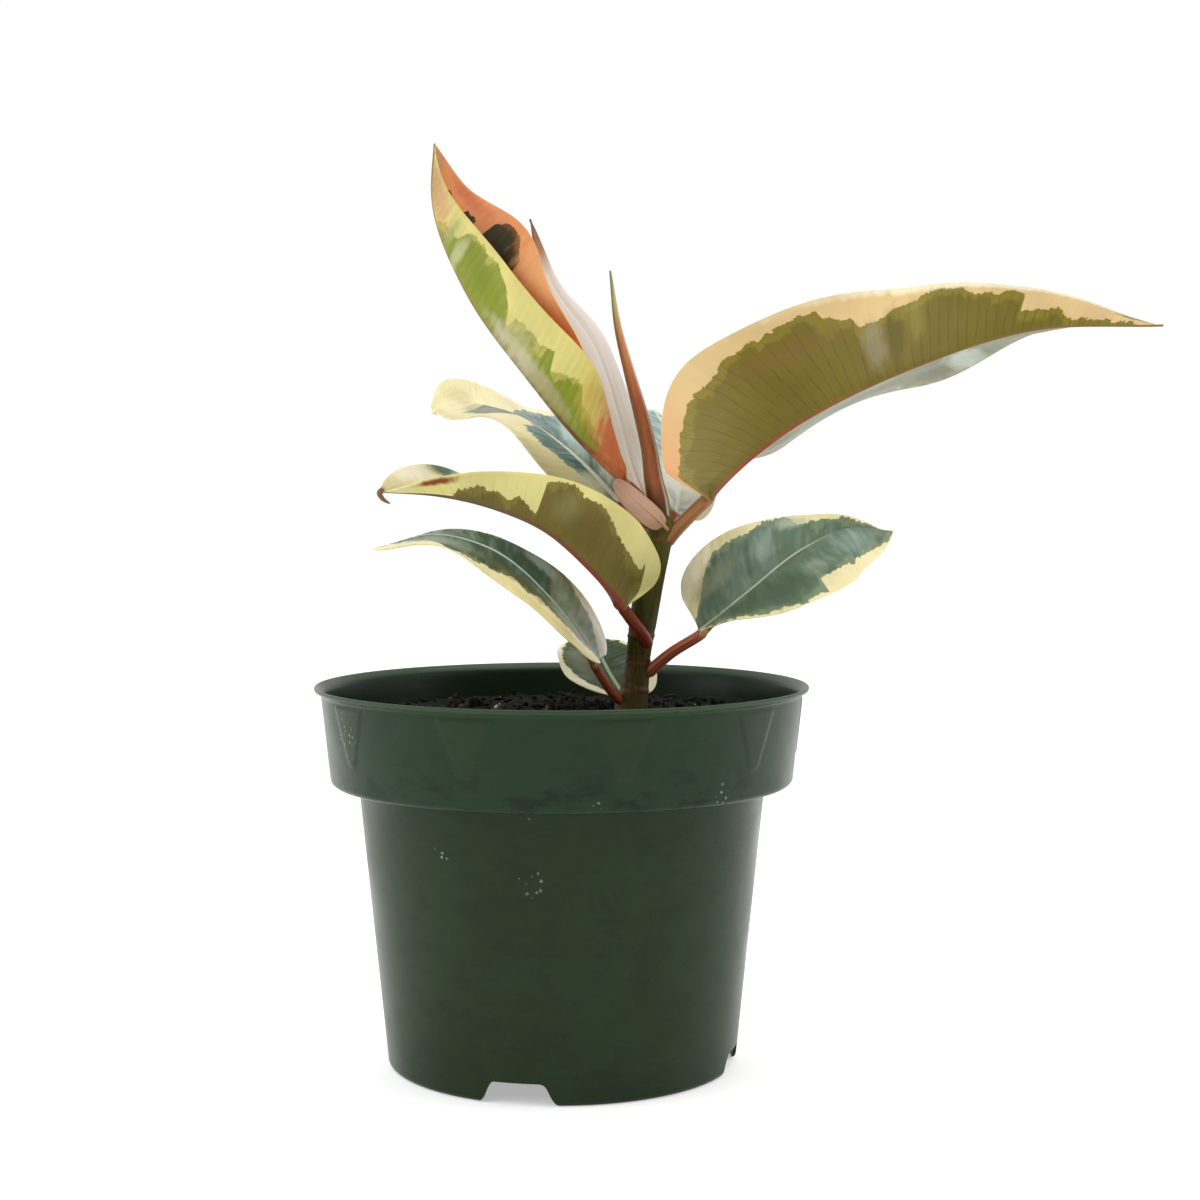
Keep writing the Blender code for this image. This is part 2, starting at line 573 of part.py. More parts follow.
def leaf_skin(leaf):
    """Points and triangles of a leaf's closed skin: a round petiole that widens into a thin blade."""
    _, knots = curve_at(leaf["line"], [0.0])
    start = knots[leaf["blade_from"]]
    blade = (1 - np.cos(np.pi * np.linspace(0, 1, BLADE_STEPS + 1))) / 2
    petiole = np.linspace(0, 1, PETIOLE_STEPS + 1)[:-1] * start
    shares = np.concatenate([petiole, start + (1 - start) * blade])
    line, _ = curve_at(leaf["line"], shares)
    stations = np.concatenate([petiole * 0 - 1, blade])
    frames = zip(line, stations, *leaf_frames(line, leaf, stations))
    halves = len(ACROSS) + 1
    ring = 4 * halves + 2
    points = []
    for centre, share, ahead, upper, right in frames:
        radius = leaf["petiole_radius"]
        if share < 0:
            for k in range(ring):
                angle = math.radians(180 - PETIOLE_SEAM - (360 - 2 * PETIOLE_SEAM) * k / (ring - 1))
                offset = right * math.cos(angle) + upper * (math.sin(angle) - 1)
                points.append(centre + radius * offset)
            continue
        left_top, left_normal = half_section(leaf, 0, share, ahead, upper, right)
        right_top, right_normal = half_section(leaf, 1, share, ahead, upper, right)
        tops = [*reversed(left_top), np.zeros(3), *right_top]
        normals = [*reversed(left_normal), upper, *right_normal]
        keel = KEEL_ALONG * (1 - share) + KEEL_AT_BASE * (1 - share) ** KEEL_BASE_FADE
        keel *= 2 * radius - BLADE_THICKNESS
        for top in tops:
            points.append(centre + top)
        for j in reversed(range(2 * halves + 1)):
            from_rib = abs(j - halves)
            thickness = MARGIN_THICKNESS if from_rib == halves else BLADE_THICKNESS
            thickness += keel * (1, KEEL_SHOULDER, 0, 0, 0)[from_rib]
            points.append(centre + tops[j] - thickness * normals[j])
    faces = []
    for i in range(len(stations) - 1):
        for k in range(ring):
            after = (k + 1) % ring
            a, b, c, d = i * ring + k, i * ring + after, (i + 1) * ring + after, (i + 1) * ring + k
            faces += [(a, b, c), (a, c, d)] if k < 2 * halves else [(a, b, d), (b, c, d)]
    for first, flip in ((0, True), ((len(stations) - 1) * ring, False)):
        centre = len(points)
        points.append(np.mean(points[first:first + ring], axis=0))
        for k in range(ring):
            edge = (first + k, first + (k + 1) % ring)
            faces.append((centre, edge[1], edge[0]) if flip else (centre, *edge))
    return points, faces


def main():
    clear_scene()
    stem_room = helpers("stem_room")
    wider = tuple((centre, radius + GAP) for centre, radius in STEM)
    (x, y, z), radius = wider[0]
    (top_x, top_y, top_z), top_radius = wider[-1]
    wider = (((x, y, z - GAP), radius), *wider[1:-1], ((top_x, top_y, top_z + GAP), top_radius))
    helper("room_for_stem", *tube(wider, STEM_SIDES, STEM_STEPS, STEM_SCARS), stem_room)
    pieces = [build_pot(), build_mix(stem_room)]
    pieces.append(solid("stem", *tube(STEM, STEM_SIDES, STEM_STEPS, STEM_SCARS)))
    grown = [solid("terminal_bud", *tube(BUD, BUD_SIDES, BUD_STEPS))]
    grown += [solid(name, *leaf_skin(leaf)) for name, leaf in LEAVES.items()]
    for piece in grown:
        combine(piece, stem_room, "DIFFERENCE")
    for piece in pieces + grown:
        piece.data.materials.append(finish(piece.name))


main()
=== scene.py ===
"""Looks of the potted rubber plant: a young variegated Ficus elastica in a moulded nursery pot.

Metres, +Z up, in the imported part's frame: the origin is on the ground under the middle of the pot, and the
front looks along -Y. Lengths below are in millimetres, as a grower would measure them, and MM turns them
into metres.
"""

import functools
import math
import random

import bmesh
import bpy
import numpy as np
from mathutils import Matrix, Vector, noise


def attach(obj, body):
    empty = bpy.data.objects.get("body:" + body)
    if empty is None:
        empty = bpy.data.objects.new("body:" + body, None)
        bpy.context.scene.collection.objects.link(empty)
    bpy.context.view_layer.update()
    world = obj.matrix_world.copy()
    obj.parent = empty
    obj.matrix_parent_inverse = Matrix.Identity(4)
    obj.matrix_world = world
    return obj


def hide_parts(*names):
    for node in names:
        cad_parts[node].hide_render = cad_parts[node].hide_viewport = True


MM = 0.001

# Angles in degrees past which an edge stays sharp: on leaves and bud, on bark and mix, and on the pot
LIVING_SMOOTH_ANGLE = 60
ROUGH_SMOOTH_ANGLE = 50
POT_SMOOTH_ANGLE = 35

# Camera: where it stands, how far it looks down, and its lens on a 36 mm sensor
CAMERA_AT = (12.2, -700.0, 190.1)
CAMERA_DOWN = 3.4
CAMERA_LENS = 65.7
SENSOR = 36.0

# Pot
POT_HEIGHT = 121.6
LIP_RADIUS = 79.0
LIP_THICKNESS = 2.8
LIP_EDGE_RADIUS = 0.6
LIP_FOOT = POT_HEIGHT - LIP_THICKNESS
BAND_TOP_RADIUS = 76.8
BAND_FOOT_RADIUS = 73.8
BAND_HEIGHT = 31.0
BAND_FOOT = POT_HEIGHT - BAND_HEIGHT
BODY_TOP_RADIUS = 65.1
BODY_FOOT_RADIUS = 55.9
EDGE_RADIUS = 2.0
BAND_FILLET = 0.6  # height and reach of the small round under the band
LIP_INNER_DROP = 0.5  # how much lower the lip starts to flare on the inside
WALL = 1.2
FLOOR = 1.5
POT_SIDES = 576
BAND_ROWS = 36

# Raised V panels on the band
PANELS = 10
PANEL_FIRST_ANGLE = 15.0
PANEL_TOP_WIDTH = 17.5
PANEL_TOP_Z = 118.2
PANEL_SHOULDER_Z = 101.5
PANEL_SHOULDER_WIDTH = 4.6
PANEL_POINT_RADIUS = 2.6
PANEL_POINT_Z = 100.1
PANEL_RISE = 0.25
PANEL_EDGE = 0.9

# Drain bays and their notches: half angle of the way out at each height, rounded at its corners
BAYS = 4
BAY_FIRST_ANGLE = -13.0
BAY_INNER_RADIUS = 25.0
BAY_HEIGHT = 7.0
BAY_HALF_ANGLE = 27.0
NOTCH = ((-1.0, 13.8), (0.0, 13.4), (0.5, 12.3), (1.5, 11.4), (5.6, 9.2), (6.6, 8.4), (7.0, 7.2))
NOTCH_DEPTH = 6.0  # how far in from the body's foot radius a notch is cut
DRAIN_HOLE_RADIUS = 4.0
DRAIN_HOLE_AT = 41.0
DRAIN_HOLE_CUT = (3.0, 12.0)  # the heights that a hole is cut between
DRAIN_HOLE_SIDES = 32
BAY_STEPS = 24

# Tints of the pot: its plastic between two greens, and what is laid over it in places
POT_GREENS = ("#2F4020", "#344C2B")
# the band's deeper green against the paler greens below is painted light and shade, evening out light that
# is stronger at the top
BAND_GREEN = "#1B2D1D"
PANEL_GREEN = "#283522"
# painted shade inside the pot's wall
INSIDE_PAINTED_SHADE = "#141F13"
MARK_GREEN = "#121E14"
# painted highlight on the rolled lip
LIP_PAINTED_HIGHLIGHT = "#364633"
SPLASH_GREY = "#7F9483"

# Dried splashes on the front: across, height and reach of each cluster
SPLASHES = ((-65.5, 109.5, 8.5), (-8.0, 69.0, 5.0), (-35.0, 76.0, 3.5), (10.0, 93.0, 3.0))

# Room: brightness behind the plant and on the viewer's side, and the part of the compass where it changes
ROOM_BACK = 1.02
ROOM_FRONT = 0.4
ROOM_DARK_FROM = -0.75
ROOM_WHITE_FROM = 0.25

# Studio floor, in metres from its middle to its sides, and how much it glows
FLOOR_REACH = 6.0
FLOOR_GLOW = 0.4

# Lamps: place and size in metres, power in watts and linear tint, and the place that they all face
LAMPS = {
    "window_light": ((-0.9, -0.5, 0.9), 0.9, 4.5, (0.93, 0.97, 1.0)),
    "fill_light": ((1.0, -0.3, 0.7), 0.8, 2.3, (1.0, 1.0, 1.0)),
    "top_light": ((0.1, 0.2, 1.2), 0.9, 6.0, (1.0, 1.0, 1.0)),
    "left_card_light": ((-1.2, -0.2, 0.3), 0.7, 3.0, (0.95, 0.98, 1.0)),
    "right_card_light": ((1.2, -0.1, 0.3), 0.7, 2.0, (0.95, 0.98, 1.0)),
}
LAMPS_FACE = (0.02, 0, 0.13)

# Potting mix
GAP = 0.3
MIX_EDGE_Z = 110.2
MIX_MOUND = 2.2
MIX_MOUND_RADIUS = 34.0
MIX_RELIEF = 0.8
SMOOTH_ROUND_STEM = 14.0
MIX_RINGS = 110
MIX_SIDES = 300
MIX_SEED = 11
MIX_MIDDLE = 0.004  # share of its radius at which the top's rings end
CRUMBS = 900
COARSE_CRUMB = 1.3  # radius from which a crumb needs a finer shape
CRUMB_ROUGHNESS = 0.35
CRUMB_SHOWN = 0.25  # how far a crumb's middle stands above the mix, as a share of its radius
CRUMB_TO_WALL = 1.6  # how far it keeps from the mix's edge, as a share of its radius
CRUMB_SHADES = (0.75, 1.25)  # the darkest and the lightest that one may be beside its kind's tint

# Crumb kinds: share of all, radius range, stretch and tint
CRUMB_KINDS = (
    (0.64, (0.4, 1.3), (1.0, 1.0, 0.8), "#11130D"),
    (0.28, (0.8, 2.3), (1.5, 0.8, 0.4), "#1E190F"),
    (0.05, (0.4, 1.2), (1.4, 0.7, 0.5), "#7A5E3A"),
    (0.03, (0.4, 1.1), (1.0, 1.0, 0.9), "#A39C88"),
)

# Stem: centre line and radius, with its last ring hidden in the bud
STEM = (
    ((21.8, 0.0, 61.6), 4.4),
    ((22.0, 0.0, 97.6), 5.2),
    ((22.3, 0.0, 114.1), 5.3),
    ((23.5, 0.0, 120.6), 4.4),
    ((24.5, 0.0, 129.1), 3.8),
    ((25.4, 0.0, 137.2), 4.15),
    ((27.2, 0.0, 148.6), 4.4),
    ((29.4, 0.0, 158.6), 4.05),
    ((31.3, 0.0, 167.6), 3.9),
    ((32.1, 0.0, 173.6), 3.7),
    ((32.4, 0.0, 175.8), 2.4),
)
STEM_AT_MIX = STEM[2][0][0]
STEM_LEAN_MIDDLE = 28.0
STEM_GREENS = ((0.0, "#463414"), (0.3, "#3C300E"), (0.55, "#3D3A0F"), (0.8, "#4A480E"), (1.0, "#524C12"))

# Scars of old leaves on the stem: heights, how far each ring tilts, and its turn from the one before
STEM_SCARS = (120.6, 129.1, 137.2, 167.6)
SCAR_TILT = 0.7
SCAR_TURN = 1.9
SCAR_RISE = 0.22
SCAR_REACH = 0.55
SCAR_GROOVE = (1.2, 0.1, 0.5)  # height above the ring, depth and reach
SCAR_TINT = (0.7, 0.5)  # strength and reach

# Bark ribs: how many go round the stem, and their height
STEM_RIBS = (9, 0.10)
STEM_FINE_RIBS = (23, 0.05)
STEM_STEPS = 260
STEM_SIDES = 64

# Terminal bud: centre line and radius
BUD = (
    ((32.4, -0.2, 173.0), 2.4),
    ((30.9, -0.2, 179.6), 3.2),
    ((29.3, -0.2, 186.6), 2.9),
    ((27.8, -0.2, 196.6), 2.45),
    ((25.2, -0.2, 207.6), 2.2),
    ((21.6, -0.2, 220.6), 1.7),
    ((18.0, -0.2, 234.6), 1.15),
    ((15.4, -0.2, 253.2), 0.35),
)
# the darkest stops, at the bud's foot, are painted shadow where it leaves the stem
BUD_REDS = ((0.0, "#33240C"), (0.07, "#5E3A14"), (0.16, "#A05C3C"), (0.5, "#B5653F"), (0.72, "#C08052"),
            (0.86, "#A8A06A"), (1.0, "#8A8A68"))
BUD_STEPS = 200
BUD_SIDES = 64
BUD_FLATNESS = 0.04
WRAP_THICKNESS = 0.22
WRAP_START = 2.45  # radians from the bud's left side forwards, at its foot
WRAP_WINDS = 0.006  # radians in a millimetre of height
WRAP_EDGE = 0.13  # reach of its pale edge, in radians

# Tints of the stipules, by distance from the base
# the papery stipule's palest tints, at its base, are partly its own cream and partly painted light, lifting
# the shade that falls there
PAPERY_TINTS = ((0, "#F0EADA"), (16, "#ECE6DC"), (50, "#D8CEC6"), (80, "#D0C2B6"), (88, "#A0704E"),
                (100, "#5A3A28"))
PINK_TINTS = ((0, "#B58768"), (6, "#C9A082"), (14, "#C8A088"), (20, "#B0866C"))

# Dry leaf tip: centre line and radius
DRY_TIP = (
    ((-55.2, -18.0, 184.2), 0.95),
    ((-56.5, -18.0, 183.0), 0.85),
    ((-55.6, -18.0, 181.2), 0.7),
    ((-53.2, -18.0, 179.6), 0.25),
)

# Leaves
BLADE_STEPS = 150
HALF_COLUMNS = 26
BLADE_THICKNESS = 0.55
MARGIN_THICKNESS = 0.3
TIP_HALF_WIDTH = 0.35
MARGIN_STOPS = (0.94, 0.97, 0.99, 1.0)  # the last columns, closer together towards the edge
THIN_FROM = 0.93  # share of the half width from which the blade thins to its margin
TO_CHORD = 0.15  # how far a section turns from square to the midrib to square to the leaf's chord
LOBE_REACH = 0.04  # the share of the blade in which a lobe dies away
RIB_TAPER = 0.72  # how much of its width the midrib loses by the tip
GROOVE_DEPTH = 0.3  # of the midrib on the upper side
GROOVE_REACH = 0.5  # the same groove's reach, as a share of half the midrib's width
QUILTING = 0.09  # height of the swelling between two side veins
QUILTED_FROM = (0.04, 0.3)  # share of the half width where the swelling grows, and where it fades
QUILTED_TO = (0.75, 1.0)
UNEVENNESS = 0.35  # height of the slow rise and fall of the blade
UNEVEN_WIDTHS = (4, 12)  # half width at which it starts to show, and from which it is full
VEIN_SPACING = 3.0
VEIN_LEAN = 0.45  # how far a patch's edge runs towards the tip for each step out from the midrib
VEIN_LEANS = (0.25, 0.5)  # the same for the fine side veins, at the base and at the tip

# Petioles
PETIOLE_STEPS = 14
PETIOLE_ROOT = 1.2  # how far the foot runs into the stem
PETIOLE_SWELLING = 0.3  # how much thicker it is near the stem
SWELLING_REACH = 0.25  # the share of the petiole in which that dies away
PETIOLE_FOOT = (0.35, 0.8, 1.0)  # share of its radius in the first steps, inside the stem
PETIOLE_END = 0.03  # the share of the blade in which it turns into the blade's section
PETIOLE_TINT_END = 0.02  # the share of the blade in which its tint ends
PETIOLE_RING_START = 172  # degrees from the right side, over the upper side, to where a ring starts
KEEL_REACH = 0.05  # the share of the blade in which the midrib's keel loses most of its depth
KEEL_KEPT = 0.4  # the share of that depth that dies away only at the tip

# line: petiole and midrib from the stem to the tip. blade_from: which of its points starts the blade.
# petiole_radius: half the petiole's thickness where it meets the blade, and half the midrib's width there.
# stalk_radius: the same for the rest of the petiole, where it differs.
# half_width: widest reach of each half. widest: where, as a share of the blade. blunt: lower is blunter.
# slim: how much narrower each half is near its base, and to which share of the blade. lobe: how far, in
# degrees, each half swings back past its base.
# up: which way the upper side looks before roll. roll: turn of the upper side to its own right.
# fold: how far each half is raised from flat. curl: how much further it has turned at the margin.
# sweep: how far the margin runs ahead of the midrib. waves: height, number and start of the ripples.
# green: how far out the green patch reaches, as (share along, share across), read along the side veins.
# Where a value has two parts, the left half's comes first. Angles are listed from base to tip.
# PLAIN_LEAF is what a leaf has unless it says otherwise.
PLAIN_LEAF = dict(
    blade_from=2, slim=((0.0, 1.0), (0.0, 1.0)), lobe=(0, 0), up=(0, 0, 1), roll=(0, 0, 0),
    curl=((0, 0), (0, 0)), sweep=(0, 0, 0),
)
LEAVES = {
    "leaf_low_left": dict(
        line=((21.5, 0.0, 116.2), (17.4, -5.5, 120.0), (11.9, -12.0, 128.8), (-1.2, -20.0, 148.1),
              (-22.5, -31.0, 166.7), (-37.7, -37.0, 170.7), (-56.0, -42.0, 166.5)),
        petiole_radius=1.4, half_width=(19.4, 20.4), widest=(0.38, 0.12), blunt=(0.32, 0.27),
        slim=((0.85, 0.12), (0.0, 1.0)), roll=(-30, -27, -6), fold=((11, -10, 1), (8, 21, 6)),
        sweep=(-31, -12, 0), waves=((0.8, 2.5, 0.1), (0.8, 2.5, 0.5)),
        green=(((0, 0.5), (0.21, 0.57), (0.27, 0.58), (0.31, 0.52), (0.35, 0.47), (0.4, 0.6), (0.44, 0.57),
                (0.48, 0.5), (0.53, 0.67), (0.59, 0.75), (0.65, 0.85), (0.73, 0.97), (0.8, 0.6), (0.9, 0.3),
                (1, 0)),
               ((0, 0.45), (0.08, 0.55), (0.12, 0.74), (0.17, 0.78), (0.22, 0.95), (0.3, 1.1), (0.9, 1.1),
                (1, 0.8))),
    ),
    "leaf_low_right": dict(
        line=((25.0, 0.0, 125.4), (34.0, -5.3, 133.4), (42.7, -10.6, 139.3), (56.8, -17.0, 151.0),
              (76.5, -26.0, 167.0), (88.8, -29.0, 172.6), (101.6, -31.0, 171.4)),
        petiole_radius=1.75, half_width=(23.5, 22.0), widest=(0.21, 0.67), blunt=(0.43, 1.3),
        roll=(35, 54, 45), fold=((26, 20, 10), (0, 0, 0)), sweep=(-14, 0, 5),
        waves=((0.8, 2.5, 0.4), (0.8, 2.5, 0.7)),
        green=(((0, 0.2), (0.055, 0.5), (0.1, 0.72), (0.14, 0.83), (0.3, 0.83), (0.4, 0.95), (0.46, 1.0),
                (0.53, 0.93), (0.58, 0.75), (0.72, 0.67), (0.76, 0.83), (0.82, 0.7), (0.91, 1.0), (1, 1.0)),
               ((0, 0.5), (0.05, 1.0), (0.21, 0.93), (0.31, 0.9), (0.42, 0.97), (0.52, 0.93), (0.54, 0.7),
                (0.63, 0.67), (0.72, 0.72), (0.85, 0.62), (0.95, 0.65), (1, 0.6))),
    ),
    "leaf_low_back": dict(
        line=((22.8, 0.5, 115.5), (21.8, 6.0, 115.7), (21.0, 9.5, 116.0), (17.0, 22.0, 120.4),
              (12.5, 38.0, 127.1), (8.5, 56.0, 132.1)),
        petiole_radius=1.2, half_width=(17.0, 15.5), widest=(0.42, 0.42), blunt=(0.45, 0.45),
        fold=((8, 8, 8), (8, 8, 8)), waves=((0.6, 2.0, 0.2), (0.6, 2.0, 0.6)),
        green=(((0, 0.5), (0.3, 0.88), (0.8, 0.9), (1, 0.9)),
               ((0, 0.5), (0.3, 0.88), (0.8, 0.9), (1, 0.9))),
    ),
    "leaf_mid_left": dict(
        line=((26.0, 0.0, 135.6), (24.0, -6.0, 140.6), (20.2, -9.0, 147.1), (9.4, -11.0, 159.3),
              (-6.6, -13.5, 172.7), (-20.0, -15.5, 178.5), (-37.6, -17.0, 182.5), (-56.0, -18.0, 183.5)),
        petiole_radius=1.9, half_width=(20.8, 21.0), widest=(0.2, 0.32), blunt=(0.29, 0.29),
        slim=((0.6, 0.03), (0.0, 1.0)), lobe=(42, 0), roll=(42, 40, 14, -25),
        fold=((31, 45, 61, 54), (48, 48, 31, 56)), sweep=(4, -19, 18),
        waves=((0.8, 2.5, 0.0), (1.6, 2.5, 0.4)),
        green=(((0, 0.5), (0.006, 0.76), (0.012, 0.6), (0.06, 0.58), (0.12, 0.62), (0.19, 0.73),
                (0.26, 0.87), (0.32, 0.82), (0.36, 0.97), (0.445, 0.85), (0.45, 0.17), (0.48, 0.27),
                (0.52, 0.38), (0.56, 0.22), (0.6, 0.42), (0.65, 0.47), (0.72, 0.37), (0.75, 0), (1, -0.3)),
               ((0, 0.3), (0.2, 0.7), (0.5, 0.8), (0.7, 0.5), (0.78, 0), (1, -0.3))),
    ),
    "leaf_upper_left": dict(
        line=((31.0, 0.8, 166.8), (26.5, 5.5, 170.6), (18.9, 9.5, 179.3), (1.8, 17.0, 196.9),
              (-16.0, 24.0, 208.8), (-29.3, 28.0, 212.6), (-40.6, 31.0, 216.4), (-44.2, 32.4, 211.0)),
        petiole_radius=1.5, half_width=(14.2, 21.0), widest=(0.46, 0.31), blunt=(0.28, 0.42), lobe=(35, 30),
        roll=(-50, -7, -50), fold=((-2, -5, -11), (11, -5, -1)), sweep=(23, 32, 6),
        waves=((0.8, 2.5, 0.3), (0.8, 2.5, 0.6)),
        green=(((0, 0.2), (0.06, 0.27), (0.11, 0.27), (0.17, 0.35), (0.24, 0.4), (0.27, 0.45), (0.29, 0.57),
                (0.36, 0.53), (0.42, 0.45), (0.46, 0.1), (0.56, 0), (0.6, 0.5), (0.69, 0.6), (0.72, 0),
                (1, -0.3)),
               ((0, 0.6), (0.1, 1), (0.28, 0.9), (0.32, 0.77), (0.43, 0.68), (0.54, 0.38), (0.6, 0),
                (1, -0.3))),
    ),
    "leaf_upper_back": dict(
        line=((32.4, 0.8, 169.0), (34.8, 6.5, 172.2), (36.8, 10.5, 176.0), (38.2, 18.0, 184.6),
              (37.0, 30.0, 194.4), (34.5, 44.0, 203.6), (31.0, 58.0, 210.6)),
        petiole_radius=1.4, half_width=(12.5, 13.0), widest=(0.45, 0.25), blunt=(0.45, 0.3),
        up=(0, -1, 0.3), roll=(26, 26, 20), fold=((12, 12, 12), (4, 4, 4)),
        waves=((0.6, 2.0, 0.5), (0.6, 2.0, 0.1)),
        green=(((0, 0.6), (0.2, 0.85), (0.8, 0.9), (1, 0.9)),
               ((0, 0.6), (0.2, 0.85), (0.8, 0.9), (1, 0.9))),
    ),
    "leaf_large_right": dict(
        line=((30.8, -0.1, 168.4), (37.5, 0.5, 175.2), (44.4, 2.0, 181.7), (73.4, 5.0, 204.3),
              (112.1, 7.0, 223.1), (150.9, 6.0, 235.1), (191.7, 2.0, 236.2)),
        petiole_radius=1.9, stalk_radius=2.2, half_width=(32.5, 35.4), widest=(0.39, 0.2),
        blunt=(0.62, 0.31), roll=(-21, -44, -50, -44, -25),
        fold=((64, 28, 41, 39, 45), (13, 54, 22, 53, 47)), sweep=(-25, 7, 23),
        waves=((3.5, 2.0, -0.39), (1.2, 3.0, 0.3)),
        green=(((0, 0.5), (0.1, 0.7), (0.3, 0.85), (0.6, 0.8), (0.8, 0.6), (0.95, 0.4), (1, 0.1)),
               ((0, 0.74), (0.035, 0.75), (0.06, 0.79), (0.09, 0.73), (0.127, 0.78), (0.142, 0.85),
                (0.165, 0.83), (0.174, 0.87), (0.195, 0.83), (0.205, 0.87), (0.228, 0.85), (0.237, 0.9),
                (0.285, 0.87), (0.296, 0.8), (0.328, 0.73), (0.346, 0.73), (0.365, 0.62), (0.388, 0.62),
                (0.411, 0.67), (0.418, 0.75), (0.473, 0.82), (0.481, 0.9), (0.565, 0.92), (0.599, 0.82),
                (0.637, 0.82), (0.667, 0.87), (0.698, 0.85), (0.704, 0.43), (0.74, 0.53), (0.78, 0.57),
                (0.806, 0.27), (0.87, 0.32), (0.93, 0.3), (0.97, 0.1), (1, -0.2))),
    ),
    "leaf_young_folded": dict(
        line=((30.6, -1.4, 173.0), (27.4, -3.4, 180.6), (22.5, -5.0, 185.8), (15.8, -6.0, 191.0),
              (-10.6, -9.0, 220.2), (-29.2, -8.0, 246.0), (-40.2, -4.0, 274.5), (-40.0, 0.0, 293.0)),
        petiole_radius=1.5, stalk_radius=2.6, half_width=(24.5, 27.0), widest=(0.4, 0.58),
        blunt=(0.98, 1.4), slim=((0.18, 0.16), (0.0, 1.0)), up=(1, 0, 0), roll=(-15, -15, -15),
        fold=((87, 57, 81), (61, 112, 29)), sweep=(24, -8, 10), waves=((0.5, 2.0, 0.0), (0.5, 2.0, 0.3)),
        green=(((0, 0), (0.08, 0.2), (0.106, 0.32), (0.158, 0.47), (0.188, 0.47), (0.2, 0.67), (0.24, 0.62),
                (0.3, 0.4), (0.312, 0.4), (0.319, 0.67), (0.37, 0.5), (0.407, 0.57), (0.461, 0.48),
                (0.475, 0.25), (0.487, 0.48), (0.522, 0.78), (0.579, 0.9), (0.626, 0.85), (0.657, 0.9),
                (0.702, 0.78), (0.718, 0.42), (0.765, 0.38), (0.8, 0.1), (0.84, -0.2), (1, -0.4)),
               ((0, -0.3), (0.5, -0.3), (0.545, 0.5), (0.556, 0.75), (0.595, 0.87), (0.655, 0.9),
                (0.684, 0.72), (0.7, 0), (0.72, 0.1), (0.73, 0.55), (0.775, 0.57), (0.79, 0), (0.835, 0),
                (0.84, 0.45), (0.86, 0.45), (0.875, -0.2), (1, -0.4))),
    ),
    "spent_sheath": dict(
        line=((31.0, 1.8, 173.0), (27.2, 3.6, 180.6), (24.6, 5.0, 186.1), (18.8, 8.0, 206.1),
              (10.3, 9.5, 230.6), (-2.4, 10.0, 248.6), (-10.2, 9.0, 270.5)),
        blade_from=1, petiole_radius=1.2, half_width=(9.5, 9.5), widest=(0.33, 0.33), blunt=(0.48, 0.48),
        up=(1, -1, 0.5), fold=((10, 10, 10), (10, 10, 10)), curl=((-40, -40), (-40, -40)),
        waves=((0.3, 3.0, 0.0), (0.3, 3.0, 0.4)),
    ),
    "bud_scale": dict(
        line=((33.2, -2.6, 171.6), (32.3, -5.0, 172.6), (30.3, -6.2, 174.6), (24.0, -7.6, 180.2),
              (17.0, -7.8, 187.0)),
        blade_from=1, petiole_radius=0.6, half_width=(2.9, 4.5), widest=(0.4, 0.4), blunt=(0.27, 0.27),
        up=(0, 1, 0), fold=((0, 0, 0), (0, 0, 0)), curl=((10, 10), (10, 10)),
        waves=((0.0, 1.0, 0.0), (0.0, 1.0, 0.0)),
    ),
}

# Tints of a grown leaf, and what each leaf has of its own. mid_depth: how far inside the green's edge the
# darker green starts. mid_until: the share of the blade from its base that keeps the lighter green.
# gleams, stripes: strength of the pale patches of painted sheen and of the dark patches on the upper green.
# veins: strength of the side veins below. rib_wide: width of the midrib's tint. rib_until: share of the
# blade where it has faded.
# blush_length: how far from its base the margin is blushed below. upper_gloss, under_gloss: roughness of
# each side. shine: the specular level. leans: the side veins' lean at base and tip. marks: soft patches
# that lean with the veins, as half, (share along, share across), (reach along, reach across), tint and
# strength. Some marks are the leaf's own tints, and some are painted highlight, reflection and shade.
GROWN = dict(
    upper_margin="#DED3A2", upper_mid="#6E7F6A", upper_dark="#46604F", gleam="#A3B7AE", gleams=0.3,
    under_margin="#DACF86", under_mid="#85773A", under_dark="#756728", stripe="#2F4A3C", stripes=0.35,
    upper_rib="#BFC8AE", under_rib="#8E4A38", rib_tip="#6B5C3C", rib_wide=0.8, rib_until=1.3,
    petiole="#6A2E16", petiole_streak="#9C4C2E", blush="#C98A5A", blush_length=4.0, mid_depth=1.6,
    mid_until=0.0, upper_gloss=0.3, under_gloss=0.45, shine=0.3, veins=0.38, leans=VEIN_LEANS, marks=(),
)
